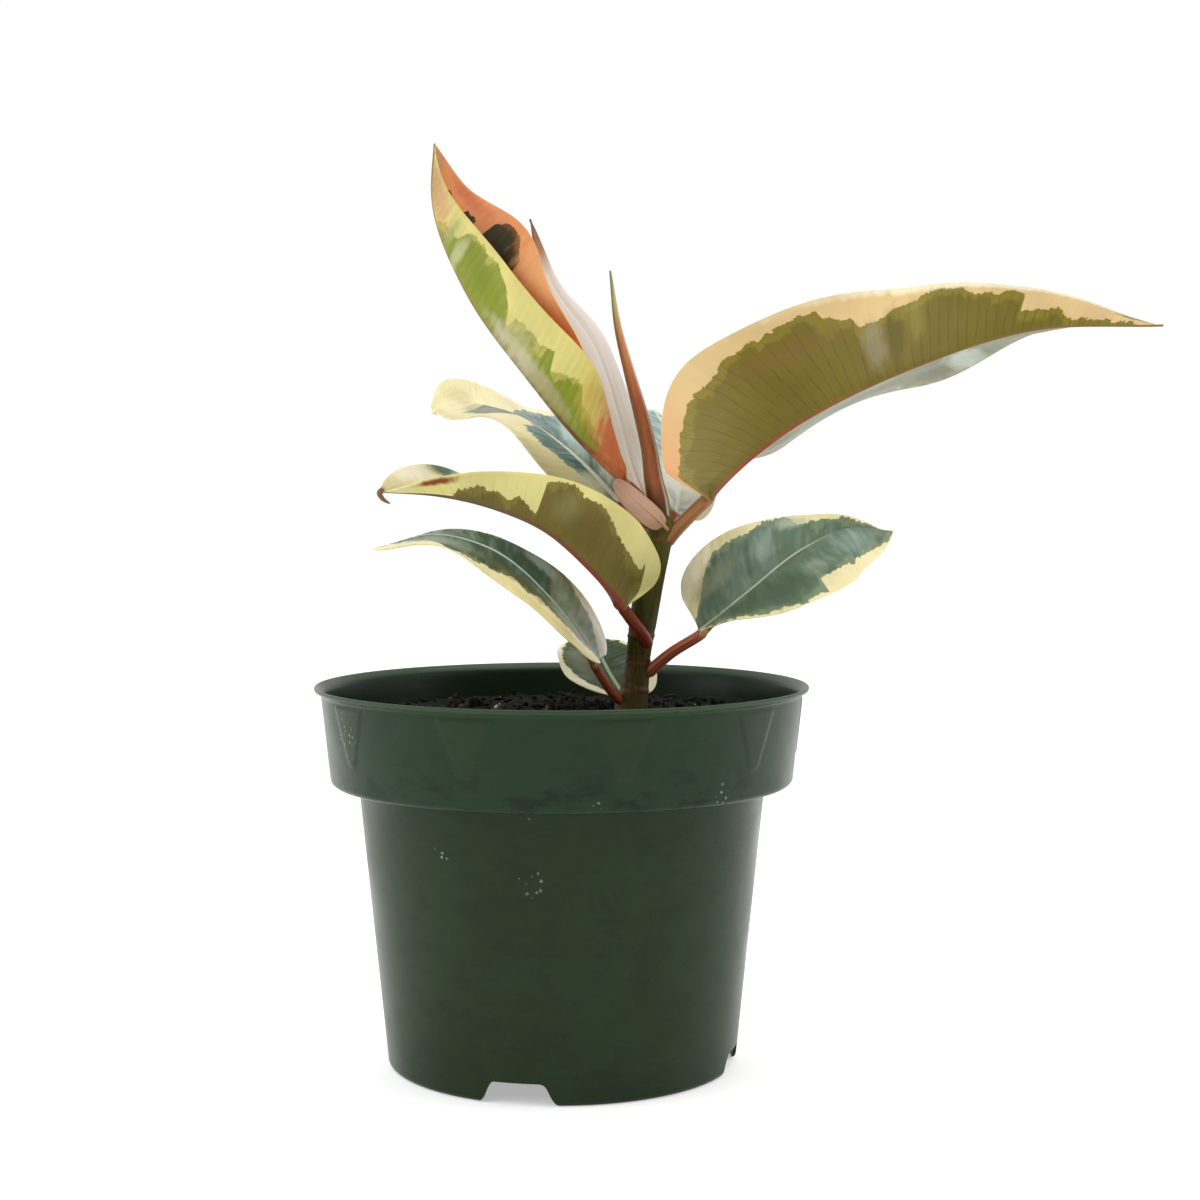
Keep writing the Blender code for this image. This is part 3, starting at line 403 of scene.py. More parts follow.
LOOKS = {
    "leaf_low_left": dict(
        upper_rib="#A7B8AC", upper_mid="#747A5C", upper_dark="#374C3B", mid_until=0.3, mid_depth=0.4,
        # the first patch, near-white, is the pale margin painted lighter, as painted light where it lies in
        # shade
        marks=((1, (0.1, 0.95), (0.17, 0.28), "#F6F4EC", 0.95),
               (1, (0.38, 0.8), (0.1, 0.25), "#A9B0A0", 0.5),
               (0, (0.3, 0.85), (0.35, 0.22), "#C9B65E", 0.5),
               (0, (0.5, 0.45), (0.3, 0.16), "#5E5A26", 0.5), (0, (0.78, 0.4), (0.14, 0.4), "#8E9A86", 0.6),
               (1, (0.8, 0.4), (0.2, 0.5), "#7F8C7A", 0.5)),
    ),
    "leaf_low_right": dict(
        upper_rib="#AEB08E", upper_mid="#72805F", upper_dark="#556B54", rib_wide=0.5, rib_until=0.8,
        gleam="#A6B29E", petiole="#96482E", petiole_streak="#CC8062",
        # the near-white patch near the base is the cream margin painted lighter, as painted light where the
        # margin lies in shade
        marks=((0, (0.2, 0.5), (0.14, 0.2), "#84886E", 0.6), (0, (0.07, 0.92), (0.2, 0.3), "#FFF8DC", 1.0),
               (0, (0.37, 0.45), (0.02, 0.36), "#34503F", 0.7),
               (0, (0.16, 0.2), (0.09, 0.2), "#3C5238", 0.8),
               (0, (0.46, 0.5), (0.05, 0.35), "#8FA096", 0.5), (0, (0.6, 0.8), (0.08, 0.2), "#A9AE98", 0.7),
               (1, (0.62, 0.42), (0.06, 0.2), "#A0AC9A", 0.6),
               (1, (0.35, 0.5), (0.32, 0.4), "#3C5138", 0.75),
               (1, (0.82, 0.3), (0.12, 0.25), "#88A098", 0.4)),
    ),
    "leaf_low_back": dict(
        upper_margin="#D2CCAE", upper_mid="#3E4A28", upper_dark="#2A3A20", upper_rib="#8A9274", gleams=0.1,
        shine=0.08, upper_gloss=0.5,
        marks=((0, (0.5, 0.6), (0.25, 0.3), "#6E735C", 0.6),),
    ),
    "leaf_mid_left": dict(
        under_margin="#E2D88E", under_mid="#857836", under_rib="#8A4030", petiole="#642410",
        petiole_streak="#8E3A20", blush="#D8CC86", blush_length=0.5,
        marks=((0, (0.81, 0.8), (0.07, 0.24), "#8E4A22", 1.0),
               (1, (0.79, 0.95), (0.05, 0.3), "#4E6655", 0.95),
               (1, (0.89, 0.8), (0.07, 0.5), "#EFE9D2", 0.7), (0, (0.93, 0.6), (0.05, 0.5), "#E6DDB8", 0.6),
               (0, (0.4, 0.5), (0.05, 0.3), "#8F8A55", 0.5), (0, (0.3, 0.35), (0.1, 0.3), "#5F501C", 0.5)),
    ),
    "leaf_upper_left": dict(
        upper_rib="#CDC8BA", upper_mid="#6E8276", upper_dark="#46655A", upper_margin="#D9CE9E",
        upper_gloss=0.24, rib_until=0.62, gleams=0.45,
        marks=((0, (0.68, 0.25), (0.08, 0.35), "#7D7F68", 0.9),
               # the two pale bluish patches on the right half are painted reflection, the gloss of the far
               # half
               (1, (0.3, 0.45), (0.1, 0.5), "#A3B9B2", 0.7), (1, (0.13, 0.3), (0.08, 0.3), "#C2C8B8", 0.8),
               (0, (0.12, 0.3), (0.08, 0.4), "#C6C6A8", 0.8),
               (0, (0.5, 0.9), (0.45, 0.12), "#CBBF98", 0.5)),
    ),
    "leaf_upper_back": dict(
        # the pale greens, strong gleams and pale patches of this leaf are painted highlight, its glossy
        # upper side as it shines
        upper_dark="#6F8C88", upper_mid="#A9B8B0", gleam="#D5DEDC", gleams=0.8,
        marks=((0, (0.22, 0.5), (0.22, 0.8), "#E2E0D2", 0.8),
               (1, (0.22, 0.5), (0.22, 0.8), "#E2E0D2", 0.8)),
    ),
    "leaf_large_right": dict(
        under_margin="#D8BC86", under_mid="#86782C", under_dark="#756724", under_rib="#9A4C34",
        rib_tip="#7E6840", petiole="#84532C", petiole_streak="#B07C4C", blush="#DE9E68", blush_length=30.0,
        leans=(-0.35, 0.5), mid_depth=3.0, gleams=0.2, veins=0.65,
        # the first three patches are a painted highlight on a ripple and the painted shade beside it; the
        # three on the left half are painted reflection on the far half
        marks=((1, (0.435, 0.38), (0.025, 0.34), "#A39C84", 0.45),
               (1, (0.475, 0.42), (0.018, 0.4), "#5A5222", 0.6),
               (1, (0.52, 0.6), (0.02, 0.3), "#9A8C44", 0.4),
               (1, (0.3, 0.62), (0.12, 0.12), "#7E5F2E", 0.5),
               (1, (0.94, 0.96), (0.04, 0.2), "#55655A", 0.9),
               (1, (0.7, 0.98), (0.4, 0.07), "#F0E8CC", 0.8), (0, (0.3, 0.6), (0.3, 0.9), "#757861", 0.95),
               (0, (0.62, 0.7), (0.2, 0.9), "#5F644B", 0.95), (0, (0.6, 0.5), (0.04, 0.6), "#B2B9AC", 0.6)),
    ),
    "leaf_young_folded": dict(
        upper_margin="#D08651", upper_mid="#5E3B12", upper_dark="#2C2906", under_margin="#C9BE72",
        under_mid="#A3A04C", under_dark="#7F8729", under_rib="#6E452C", rib_tip="#8B6A4A",
        petiole="#8E4426", petiole_streak="#A8512F", blush="#B5532A", blush_length=17.0, mid_depth=1.5,
        upper_gloss=0.6, under_gloss=0.4, shine=0.2, gleams=0.0, stripes=0.0,
        # the first patch, whitish, is painted reflection where the blade turns away along the fold
        marks=((0, (0.42, 0.14), (0.13, 0.16), "#B9AE96", 0.9),
               (0, (0.3, 0.12), (0.1, 0.12), "#9C9468", 0.8),
               (0, (0.76, 0.35), (0.02, 0.5), "#8F9A62", 0.6),
               (0, (0.71, 0.3), (0.02, 0.5), "#C4C294", 0.6),
               (0, (0.87, 0.45), (0.1, 0.6), "#BE9268", 0.85), (0, (0.6, 0.4), (0.06, 0.3), "#74801A", 0.8),
               (0, (0.45, 0.3), (0.06, 0.3), "#B7B27A", 0.6), (0, (0.2, 0.65), (0.07, 0.4), "#BFA24E", 0.7),
               (0, (0.08, 0.6), (0.09, 0.9), "#BC643A", 0.95),
               (1, (0.97, 0.4), (0.04, 1.0), "#B4825E", 0.9),
               (1, (0.55, 0.85), (0.12, 0.3), "#DDA36C", 0.7),
               (1, (0.85, 0.8), (0.08, 0.2), "#B95F3C", 0.6)),
    ),
}
UNDER_VEIN = "#4E4A20"

# Slots of the leaves that don't show their upper side
LEAF_SLOTS = {
    "leaf_young_folded": "leaf_young",
    "leaf_large_right": "leaf_underside",
    "leaf_mid_left": "leaf_underside",
}

# Short names for kinds of shader node with a setting: a soft step between two values, and a mix of two tints
NODES = {
    "SoftStep": ("MapRange", {"interpolation_type": "SMOOTHSTEP"}),
    "TintMix": ("Mix", {"data_type": "RGBA"}),
}


def colour(hex_value):
    """A colour socket's linear value from an sRGB hex value."""
    shares = (int(hex_value[i:i + 2], 16) / 255 for i in (1, 3, 5))
    return (*(s / 12.92 if s <= 0.04045 else ((s + 0.055) / 1.055) ** 2.4 for s in shares), 1.0)


def set_input(socket, value):
    """Links a node's input, or sets it to a number, a vector or the colour of a hex value."""
    if isinstance(value, bpy.types.NodeSocket):
        socket.id_data.links.new(value, socket)
    else:
        socket.default_value = colour(value) if isinstance(value, str) else value


def add(tree, kind, *values, output=0, stops=(), **named):
    """Adds a shader node and returns one of the outputs it shows.

    kind is one of the short names, a node type or, in capitals, the operation of a Math node. The values go
    to the inputs that the node shows, in order. A name with a capital is an input too, any other a setting.
    """
    if kind.isupper():
        kind, settings = "Math", {"operation": kind}
    else:
        kind, settings = NODES.get(kind, (kind, {}))
    made = tree.nodes.new("ShaderNode" + kind)
    for name, value in {**settings, **named}.items():
        if name.islower():
            setattr(made, name, value)
    for socket, value in zip([socket for socket in made.inputs if socket.enabled], values):
        set_input(socket, value)
    for name, value in named.items():
        if not name.islower():
            set_input(made.inputs[name], value)
    ramp = made.color_ramp.elements if stops else ()
    while len(ramp) < len(stops):
        ramp.new(0.5)
    for element, (place, tint) in zip(ramp, stops):
        element.position = place
        element.color = colour(tint)
    return [socket for socket in made.outputs if socket.enabled][output]


def new_material(name):
    """A material, the function that adds a node to it, and its Principled shader."""
    material = bpy.data.materials.new(name)
    material.use_nodes = True
    tree = material.node_tree
    return material, functools.partial(add, tree), tree.nodes["Principled BSDF"]


def set_shader(shader, **inputs):
    """Sets a shader's inputs. An underscore in a name stands for a space."""
    for name, value in inputs.items():
        set_input(shader.inputs[name.replace("_", " ")], value)


def in_millimetres(node):
    """The place on the object, in millimetres."""
    return node("VectorMath", node("TexCoord", output=3), 1 / MM, operation="SCALE")


def stored(node, name):
    """The three numbers that a mesh stores under a name on each of its points."""
    return node("SeparateXYZ", node("Attribute", attribute_name=name, output=1)).node.outputs


def stretched_noise(node, place, waves, **look):
    """Noise with its own number of waves in a millimetre along each axis."""
    stretched = node("VectorMath", place, waves, operation="MULTIPLY")
    return node("TexNoise", stretched, **{"Scale": 1.0, **look})


def shaded(node, tint, pattern, low, high, darkest, lightest):
    """A tint that a pattern makes darker where it is low and lighter where it is high."""
    tone = node("MapRange", pattern, low, high, darkest, lightest)
    return node("VectorMath", tint, tone, operation="SCALE")


def new_object(name, data):
    """An object of the scene that holds a mesh, a lamp or a camera."""
    made = bpy.data.objects.new(name, data)
    bpy.context.scene.collection.objects.link(made)
    return made


def make_piece(name, points, faces, material, replaced, smooth_angle=ROUGH_SMOOTH_ANGLE):
    """A piece from points in millimetres, which stands for a CAD node and rides with it."""
    mesh = bpy.data.meshes.new(name)
    mesh.from_pydata((np.asarray(points, float) * MM).tolist(), [], faces)
    mesh.validate()
    mesh.shade_smooth()
    mesh.set_sharp_from_angle(angle=math.radians(smooth_angle))
    mesh.materials.append(material)
    obj = new_object(name, mesh)
    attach(obj, "root")
    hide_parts(replaced)
    return obj


def set_attribute(obj, name, values):
    """Stores a number or a triple on each point of the mesh, for its material to read."""
    values = np.asarray(values, np.float32)
    kind, field = ("FLOAT", "value") if values.ndim == 1 else ("FLOAT_VECTOR", "vector")
    attribute = obj.data.attributes.new(name, kind, "POINT")
    attribute.data.foreach_set(field, values.ravel())


def unit(vectors):
    vectors = np.asarray(vectors, float)
    return vectors / np.linalg.norm(vectors, axis=-1, keepdims=True)


def smooth(low, high, value):
    """0 below low, 1 above high, with an easy turn between."""
    t = np.clip((value - low) / (high - low), 0, 1)
    return t * t * (3 - 2 * t)


def full_turn(count):
    """Angles spread evenly round a full turn, in radians."""
    return 2 * np.pi * np.arange(count) / count


def curve_at(knots, shares):
    """A curve through the knots: its points at shares of its length, each knot's share, and its length."""
    knots = np.asarray(knots, float)
    gaps = np.linalg.norm(np.diff(knots, axis=0), axis=1)
    at = np.concatenate([[0.0], np.cumsum(gaps)])
    slopes = np.gradient(knots, at, axis=0)
    fine = np.linspace(0.0, at[-1], 6000)
    k = np.clip(np.searchsorted(at, fine, side="right") - 1, 0, len(gaps) - 1)
    t = ((fine - at[k]) / gaps[k])[:, None]
    step = gaps[k][:, None]
    curve = (1 + 2 * t) * (1 - t) ** 2 * knots[k] + t * (1 - t) ** 2 * step * slopes[k]
    curve += t * t * (3 - 2 * t) * knots[k + 1] + t * t * (t - 1) * step * slopes[k + 1]
    run = np.concatenate([[0.0], np.cumsum(np.linalg.norm(np.diff(curve, axis=0), axis=1))])
    total = run[-1]
    run = run / total
    points = np.stack([np.interp(shares, run, curve[:, axis]) for axis in range(curve.shape[1])], axis=1)
    return points, np.interp(at, fine, run), total


def eased(values, shares):
    """A value between the ones listed, which are spread evenly from base to tip."""
    values = np.asarray(values, float)
    place = np.clip(shares, 0, 1) * (len(values) - 1)
    k = np.minimum(place.astype(int), len(values) - 2)
    t = place - k
    return values[k] + (values[k + 1] - values[k]) * t * t * (3 - 2 * t)


def closed_rings(points):
    """Rings of points, shaped (rings, ring, 3), as a closed skin's points and faces: quads between
    neighbouring rings, and a fan of triangles to a middle point at each end."""
    rings, ring, _ = points.shape
    middles = np.stack([points[0].mean(0), points[-1].mean(0)])
    k = np.arange(ring)
    after = (k + 1) % ring
    faces = []
    for low in range(0, (rings - 1) * ring, ring):
        high = low + ring
        faces += np.stack([low + k, low + after, high + after, high + k], 1).tolist()
    first_middle, last_middle, last = rings * ring, rings * ring + 1, (rings - 1) * ring
    faces += [(first_middle, int(b), int(a)) for a, b in zip(k, after)]
    faces += [(last_middle, int(last + a), int(last + b)) for a, b in zip(k, after)]
    return np.concatenate([points.reshape(-1, 3), middles]), faces


# Leaf shape


def half_width_at(leaf, side, shares):
    """Reach of one half of the blade, from a blunt base over its widest point to a pointed tip."""
    widest, base_power = leaf["widest"][side], leaf["blunt"][side]
    tip_power = base_power * (1 - widest) / widest
    shares = np.clip(shares, 0, 1)
    rise = (shares / widest) ** base_power * ((1 - shares) / (1 - widest)) ** tip_power
    slim, slim_reach = leaf["slim"][side]
    rise = rise * (1 - slim * np.exp(-(shares / slim_reach) ** 2))
    least = leaf["petiole_radius"] * (1 - shares) ** 6 + TIP_HALF_WIDTH * shares
    return np.maximum(leaf["half_width"][side] * rise, least)


def leaf_frames(line, leaf, shares):
    """Tangent, upper side and right-hand side of each station, turned by the leaf's roll."""
    tangents = unit(np.gradient(line, axis=0))
    blade = shares >= 0
    chord = unit(line[-1] - line[blade][0])
    mix = np.where(blade, TO_CHORD, 0.0)[:, None]
    steady = unit((1 - mix) * tangents + mix * chord)
    up = unit(leaf["up"])
    uppers = unit(up - (steady @ up)[:, None] * steady)
    rights = np.cross(steady, uppers)
    rolls = np.radians(eased(leaf["roll"], shares))[:, None]
    turned_uppers = uppers * np.cos(rolls) + rights * np.sin(rolls)
    turned_rights = rights * np.cos(rolls) - uppers * np.sin(rolls)
    return steady, turned_uppers, turned_rights


def half_blade(leaf, side, shares, frames, stops, length):
    """One half's upper face from midrib to margin, its normals and its distances from the midrib."""
    ahead, upper, right = (axis[:, None, :] for axis in frames)
    sign = -1 if side == 0 else 1
    width = half_width_at(leaf, side, shares)[:, None]
    fold, curl = (eased(leaf[bend][side], shares)[:, None] for bend in ("fold", "curl"))
    angle = np.radians(fold + curl * stops)[..., None]
    outwards = sign * right * np.cos(angle) + upper * np.sin(angle)
    lobe = leaf["lobe"][side] * np.exp(-shares / LOBE_REACH)
    sweep = np.radians(eased(leaf["sweep"], shares) - lobe)
    outwards = outwards + ahead * np.tan(sweep)[:, None, None]
    steps = np.diff(stops)[None, :, None] * (outwards[:, 1:] + outwards[:, :-1]) / 2
    place = np.concatenate([np.zeros_like(outwards[:, :1]), np.cumsum(steps, axis=1)], axis=1)
    place = place * width[..., None]
    normal = upper * np.cos(angle) - sign * right * np.sin(angle)
    height, number, phase = leaf["waves"][side]
    ripple = height * np.sin(2 * np.pi * (number * shares + phase)) * np.sin(np.pi * shares) ** 0.5
    distance = stops * width
    vein = shares[:, None] * length - np.interp(shares, (0, 1), VEIN_LEANS)[:, None] * distance
    inner = smooth(*QUILTED_FROM, stops) * (1 - smooth(*QUILTED_TO, stops))
    quilt = QUILTING * np.cos(2 * np.pi * vein / (2 * VEIN_SPACING) + side) ** 2 * inner

    # slow swells 57 mm long and 18 mm wide, which differ on the two halves
    uneven = UNEVENNESS * np.sin(0.11 * vein + 2.0 * side + 1.3)
    uneven = uneven * np.sin(0.35 * distance + 0.07 * vein) * inner
    lift = ripple[:, None] * stops ** 2 + quilt + uneven * smooth(*UNEVEN_WIDTHS, width)
    return place + lift[..., None] * normal, normal, distance


def leaf_skin(leaf):
    """Points and faces of a leaf's closed skin, and what its material reads at each point."""
    run = np.array(leaf["line"])
    run[0] -= PETIOLE_ROOT * unit(run[1] - run[0])
    _, knots, total = curve_at(run, [0.0])
    start = knots[leaf["blade_from"]]
    length = total * (1 - start)
    blade = (1 - np.cos(np.pi * np.linspace(0, 1, BLADE_STEPS + 1))) / 2
    petiole = np.linspace(0, 1, PETIOLE_STEPS + 1)[:-1] * start
    line, _, _ = curve_at(run, np.concatenate([petiole, start + (1 - start) * blade]))
    stations = np.concatenate([petiole * 0 - 1, blade])
    frames = leaf_frames(line, leaf, stations)
    shares = np.clip(stations, 0, 1)
    inner_stops = np.linspace(0, MARGIN_STOPS[0], HALF_COLUMNS + 1 - len(MARGIN_STOPS))
    stops = np.concatenate([inner_stops, MARGIN_STOPS[1:]])
    left, left_normal, left_out = half_blade(leaf, 0, shares, frames, stops, length)
    right, right_normal, right_out = half_blade(leaf, 1, shares, frames, stops, length)
    tops = np.concatenate([left[:, :0:-1], right], axis=1)
    normals = np.concatenate([left_normal[:, :0:-1], right_normal], axis=1)
    normals[:, len(stops) - 1] = frames[1]
    out = np.concatenate([-left_out[:, :0:-1], right_out], axis=1)
    radius = leaf["petiole_radius"]
    rib = (radius * (1.0 - RIB_TAPER * shares ** 0.4))[:, None]
    groove = GROOVE_DEPTH * (1 - shares)[:, None] * np.exp(-(out / (GROOVE_REACH * rib)) ** 2)
    tops = tops - groove[..., None] * normals
    across = np.abs(np.concatenate([-stops[:0:-1], stops]))
    sheet = BLADE_THICKNESS + (MARGIN_THICKNESS - BLADE_THICKNESS) * smooth(THIN_FROM, 1.0, across)
    keel = np.sqrt(np.clip(1 - (out / rib) ** 2, 0, 1)) * (2 * radius - BLADE_THICKNESS)
    kept = KEEL_KEPT * (1 - shares) + (1 - KEEL_KEPT) * np.exp(-shares / KEEL_REACH)
    keel = keel * kept[:, None]
    bottoms = tops - (sheet + keel)[..., None] * normals
    section = np.concatenate([tops, bottoms[:, ::-1]], axis=1)

    # the petiole is round, and turns into the blade's own section over the first of the blade
    ring = section.shape[1]
    angles = np.radians(PETIOLE_RING_START - 2 * PETIOLE_RING_START * np.arange(ring) / (ring - 1))
    _, upper, rights = frames
    step = np.arange(len(stations))
    flare = 1 + PETIOLE_SWELLING * np.exp(-step / (SWELLING_REACH * PETIOLE_STEPS))
    flare = leaf.get("stalk_radius", radius) * flare
    flare = flare * np.interp(step, range(len(PETIOLE_FOOT)), PETIOLE_FOOT)
    offset = rights[:, None] * np.cos(angles)[:, None] + upper[:, None] * (np.sin(angles) - 1)[:, None]
    round_section = offset * flare[:, None, None]
    blend = smooth(0.0, PETIOLE_END, stations)[:, None, None]
    points = line[:, None] + round_section * (1 - blend) + section * blend
    skin, faces = closed_rings(points)

    # what the material reads: distances along and across, half width, length, upper side, and petiole
    along = np.broadcast_to((np.where(stations < 0, -1.0, stations) * length)[:, None], out.shape)
    widths = [half_width_at(leaf, side, shares)[:, None] for side in (0, 1)]
    width = np.where(out < 0, *widths)
    stalk = np.broadcast_to(1 - smooth(0.0, PETIOLE_TINT_END, stations)[:, None], out.shape)

    def both(top, bottom=None):
        """A value of the upper face and of the under face, in the order of the skin's points."""
        values = np.concatenate([top, (top if bottom is None else bottom)[:, ::-1]], axis=1).ravel()
        return np.concatenate([values, [values[0], values[-1]]])

    place = np.stack([both(along), both(out), both(width)], axis=1)
    marks = np.stack([both(out * 0 + length), both(out * 0 + 1, out * 0), both(stalk)], axis=1)
    return skin, faces, place, marks


# Leaf finish


def leaf_material(name, leaf, look):
    """Living leaf with a waxy cuticle. Patches of green in a cream margin end in steps along the side veins,
    the upper side has a soft gloss, the underside is duller, and the midrib and stalk are red below."""
    look = {**GROWN, **look}
    material, node, shader = new_material(f"waxy_variegated_{name}")
    along, across, reach = stored(node, "leaf_place")
    length, upper, stalk = stored(node, "leaf_marks")
    away = node("ABSOLUTE", across)
    side = node("SIGN", across)
    on_right = node("GREATER_THAN", across, 0.0)
    share_along = node("DIVIDE", along, length)
    share_out = node("DIVIDE", away, reach)
    vein = node("MULTIPLY_ADD", away, -VEIN_LEAN, along)
    base_lean, tip_lean = look["leans"]
    lean = node("MapRange", share_along, 0.0, 1.0, -base_lean, -tip_lean)
    fine_vein = node("MULTIPLY_ADD", away, lean, along)
    flat = node("CombineXYZ", fine_vein, away, node("MULTIPLY", side, 40.0))

    def grain(lengthwise, crosswise, detail=2.0):
        """Noise in patches of a size in millimetres: along the midrib, and out along the side veins."""
        waves = (1 / lengthwise, 1 / crosswise, 1.0)
        return stretched_noise(node, flat, waves, Detail=detail, Roughness=0.55)

    def outline(knots):
        """How far out the green reaches, as a share of the half width, read along the side veins."""
        reached = node("FloatCurve", Value=node("DIVIDE", vein, length))
        mapping = reached.node.mapping
        mapping.clip_min_y, mapping.clip_max_y = -1.0, 2.0
        line = mapping.curves[0].points
        while len(line) < len(knots):
            line.new(0.5, 0.5)
        for point, (share, value) in zip(line, knots):
            point.location = (share, value)
            point.handle_type = "VECTOR"
        mapping.update()
        return reached

    def steps(width):
        """One random number for each strip between side veins, this many millimetres wide."""
        wander = node("MULTIPLY_ADD", grain(6.0, 9.0), 0.9 * width, fine_vein)
        strip = node("FLOOR", node("DIVIDE", wander, width))
        return node("TexWhiteNoise", node("MULTIPLY_ADD", side, 50.0, strip), noise_dimensions="1D")

    def lifted(base, value, amount):
        """base plus a random value spread evenly about nought."""
        return node("MULTIPLY_ADD", node("SUBTRACT", value, 0.5), amount, base)

    # the green patch, its darker inside, and the light side veins
    left_reach, right_reach = (outline(knots) for knots in leaf["green"])
    patch = node("MULTIPLY", node("Mix", on_right, left_reach, right_reach), reach)
    cover = node("SUBTRACT", patch, away)
    rim = lifted(lifted(lifted(cover, steps(2.6), 1.0), steps(0.9), 0.7), grain(1.2, 3.0), 1.0)
    green = node("SoftStep", rim, -0.15, 0.2)
    depth = lifted(lifted(cover, steps(3.7), 3.0), grain(5.0, 14.0, 3.0), 10.0)
    dark = node("SoftStep", depth, look["mid_depth"] - 0.8, look["mid_depth"] + 0.8)
    by_base = node("MULTIPLY", length, look["mid_until"])
    past_base = node("SUBTRACT", lifted(vein, grain(5.0, 9.0), 12.0), by_base)
    dark = node("MULTIPLY", dark, node("SoftStep", past_base, -1.5, 1.5))
    from_vein = node("PINGPONG", lifted(fine_vein, grain(4.0, 8.0), 1.6), VEIN_SPACING / 2)
    vein_line = node("SoftStep", from_vein, 0.0, 0.28, 1.0, 0.0)
    vein_line = node("MULTIPLY", vein_line, node("SoftStep", share_out, 0.6, 0.95, 1.0, 0.0))
    vein_line = node("MULTIPLY", vein_line, node("SoftStep", grain(3.0, 9.0), 0.25, 0.6))

    # upper side: painted gleams of sheen and dark stripes on the green, and the midrib's line as far as it
    # shows
    upper_green = node("TintMix", dark, look["upper_mid"], look["upper_dark"])
    upper_face = node("TintMix", green, look["upper_margin"], upper_green)
    upper_face = node("TintMix", node("MULTIPLY", vein_line, 0.12), upper_face, look["upper_mid"])
    gleam = node("MULTIPLY", node("SoftStep", grain(5.0, 12.0, 3.0), 0.48, 0.75), look["gleams"])
    stripe = node("MULTIPLY", node("SoftStep", grain(2.2, 25.0), 0.56, 0.75), look["stripes"])
    on_green = node("TintMix", gleam, node("TintMix", stripe, upper_face, look["stripe"]), look["gleam"])
    upper_face = node("TintMix", green, upper_face, on_green)
    rib_width = node("MapRange", along, 0.0, 90.0, look["rib_wide"], 0.35 * look["rib_wide"])
    rib_line = node("SoftStep", node("DIVIDE", away, rib_width), 0.7, 1.1, 1.0, 0.0)
    to_end = node("SoftStep", share_along, look["rib_until"] - 0.25, look["rib_until"])
    rib_shown = node("SUBTRACT", rib_line, to_end, use_clamp=True)
    upper_face = node("TintMix", rib_shown, upper_face, look["upper_rib"])

    # underside: a blush near the base, dark side veins on the green, and a red midrib
    from_base = lifted(along, grain(12.0, 12.0), 10.0)
    near_base = node("SoftStep", from_base, 0.0, look["blush_length"], 1.0, 0.0)
    under_margin = node("TintMix", near_base, look["under_margin"], look["blush"])
    under_green = node("TintMix", dark, look["under_mid"], look["under_dark"])
    under_face = node("TintMix", green, under_margin, under_green)
    shown = node("MULTIPLY", vein_line, node("MapRange", green, 0.0, 1.0, 0.1, look["veins"]))
    under_face = node("TintMix", shown, under_face, UNDER_VEIN)
    to_tip = node("SoftStep", share_along, 0.15, 0.6)
    under_rib = node("TintMix", to_tip, look["under_rib"], look["rib_tip"])
    under_face = node("TintMix", rib_line, under_face, under_rib)

    # soft patches of each leaf, its own tints and painted highlight, reflection and shade, then the petiole
    face = node("TintMix", upper, under_face, upper_face)
    ragged = grain(2.5, 7.0, 3.0)
    for half, (at_along, at_across), (long, wide), tint, strength in look["marks"]:
        out_from = node("MULTIPLY_ADD", reach, -at_across, away)
        off = node("MULTIPLY_ADD", out_from, lean, along)
        off = node("SUBTRACT", off, node("MULTIPLY", length, at_along))
        off_along = node("DIVIDE", off, node("MULTIPLY", length, long))
        off_across = node("MapRange", share_out, at_across, at_across + wide, clamp=False)
        off = node("VectorMath", node("CombineXYZ", off_along, off_across), operation="LENGTH")
        spread = node("SoftStep", lifted(off, ragged, 1.2), 1.25, 0.35)
        here = on_right if half else node("SUBTRACT", 1.0, on_right)
        spread = node("MULTIPLY", node("MULTIPLY", spread, here), strength)
        face = node("TintMix", spread, face, tint)
    stalk_streak = node("SoftStep", grain(2.5, 0.5, 4.0), 0.35, 0.7)
    stalk_tint = node("TintMix", stalk_streak, look["petiole"], look["petiole_streak"])
    face = node("TintMix", stalk, face, stalk_tint)
    cloud = node("SoftStep", grain(16.0, 30.0), 0.3, 0.7)
    face = shaded(node, face, cloud, 0.0, 1.0, 0.9, 1.06)

    rough = node("MapRange", upper, 0.0, 1.0, look["under_gloss"], look["upper_gloss"])
    rough = lifted(rough, grain(7.0, 12.0), 0.12)
    height = lifted(node("MULTIPLY", from_vein, 0.6), grain(0.5, 0.5, 3.0), 0.35)
    bump = node("Bump", Strength=0.25, Distance=0.4 * MM, Height=height)
    set_shader(shader, Base_Color=face, Roughness=rough, Normal=bump, IOR=1.45,
               Specular_IOR_Level=look["shine"], Subsurface_Weight=0.12,
               Subsurface_Radius=(0.9, 0.8, 0.35), Subsurface_Scale=1.2 * MM)
    return material


def stipule_material(name, tints, roughness):
    """Stipule, papery or still fresh: thin and matt, with fine lengthwise fibres 0.5 mm apart. tints run
    from base to tip."""
    material, node, shader = new_material(name)
    along, across, _ = stored(node, "leaf_place")
    length = tints[-1][0]
    share = node("MapRange", along, 0.0, length)
    body = node("ValToRGB", share, stops=[(at / length, tint) for at, tint in tints])
    fibre = stretched_noise(node, node("CombineXYZ", along, across), (0.04, 2.2, 1.0), Detail=3.0)
    body = shaded(node, body, fibre, 0.25, 0.75, 0.88, 1.06)
    bump = node("Bump", Strength=0.15, Distance=0.2 * MM, Height=fibre)
    set_shader(shader, Base_Color=body, Roughness=roughness, Normal=bump, Subsurface_Weight=0.2,
               Subsurface_Radius=(1.0, 0.8, 0.8), Subsurface_Scale=1.0 * MM)
    return material


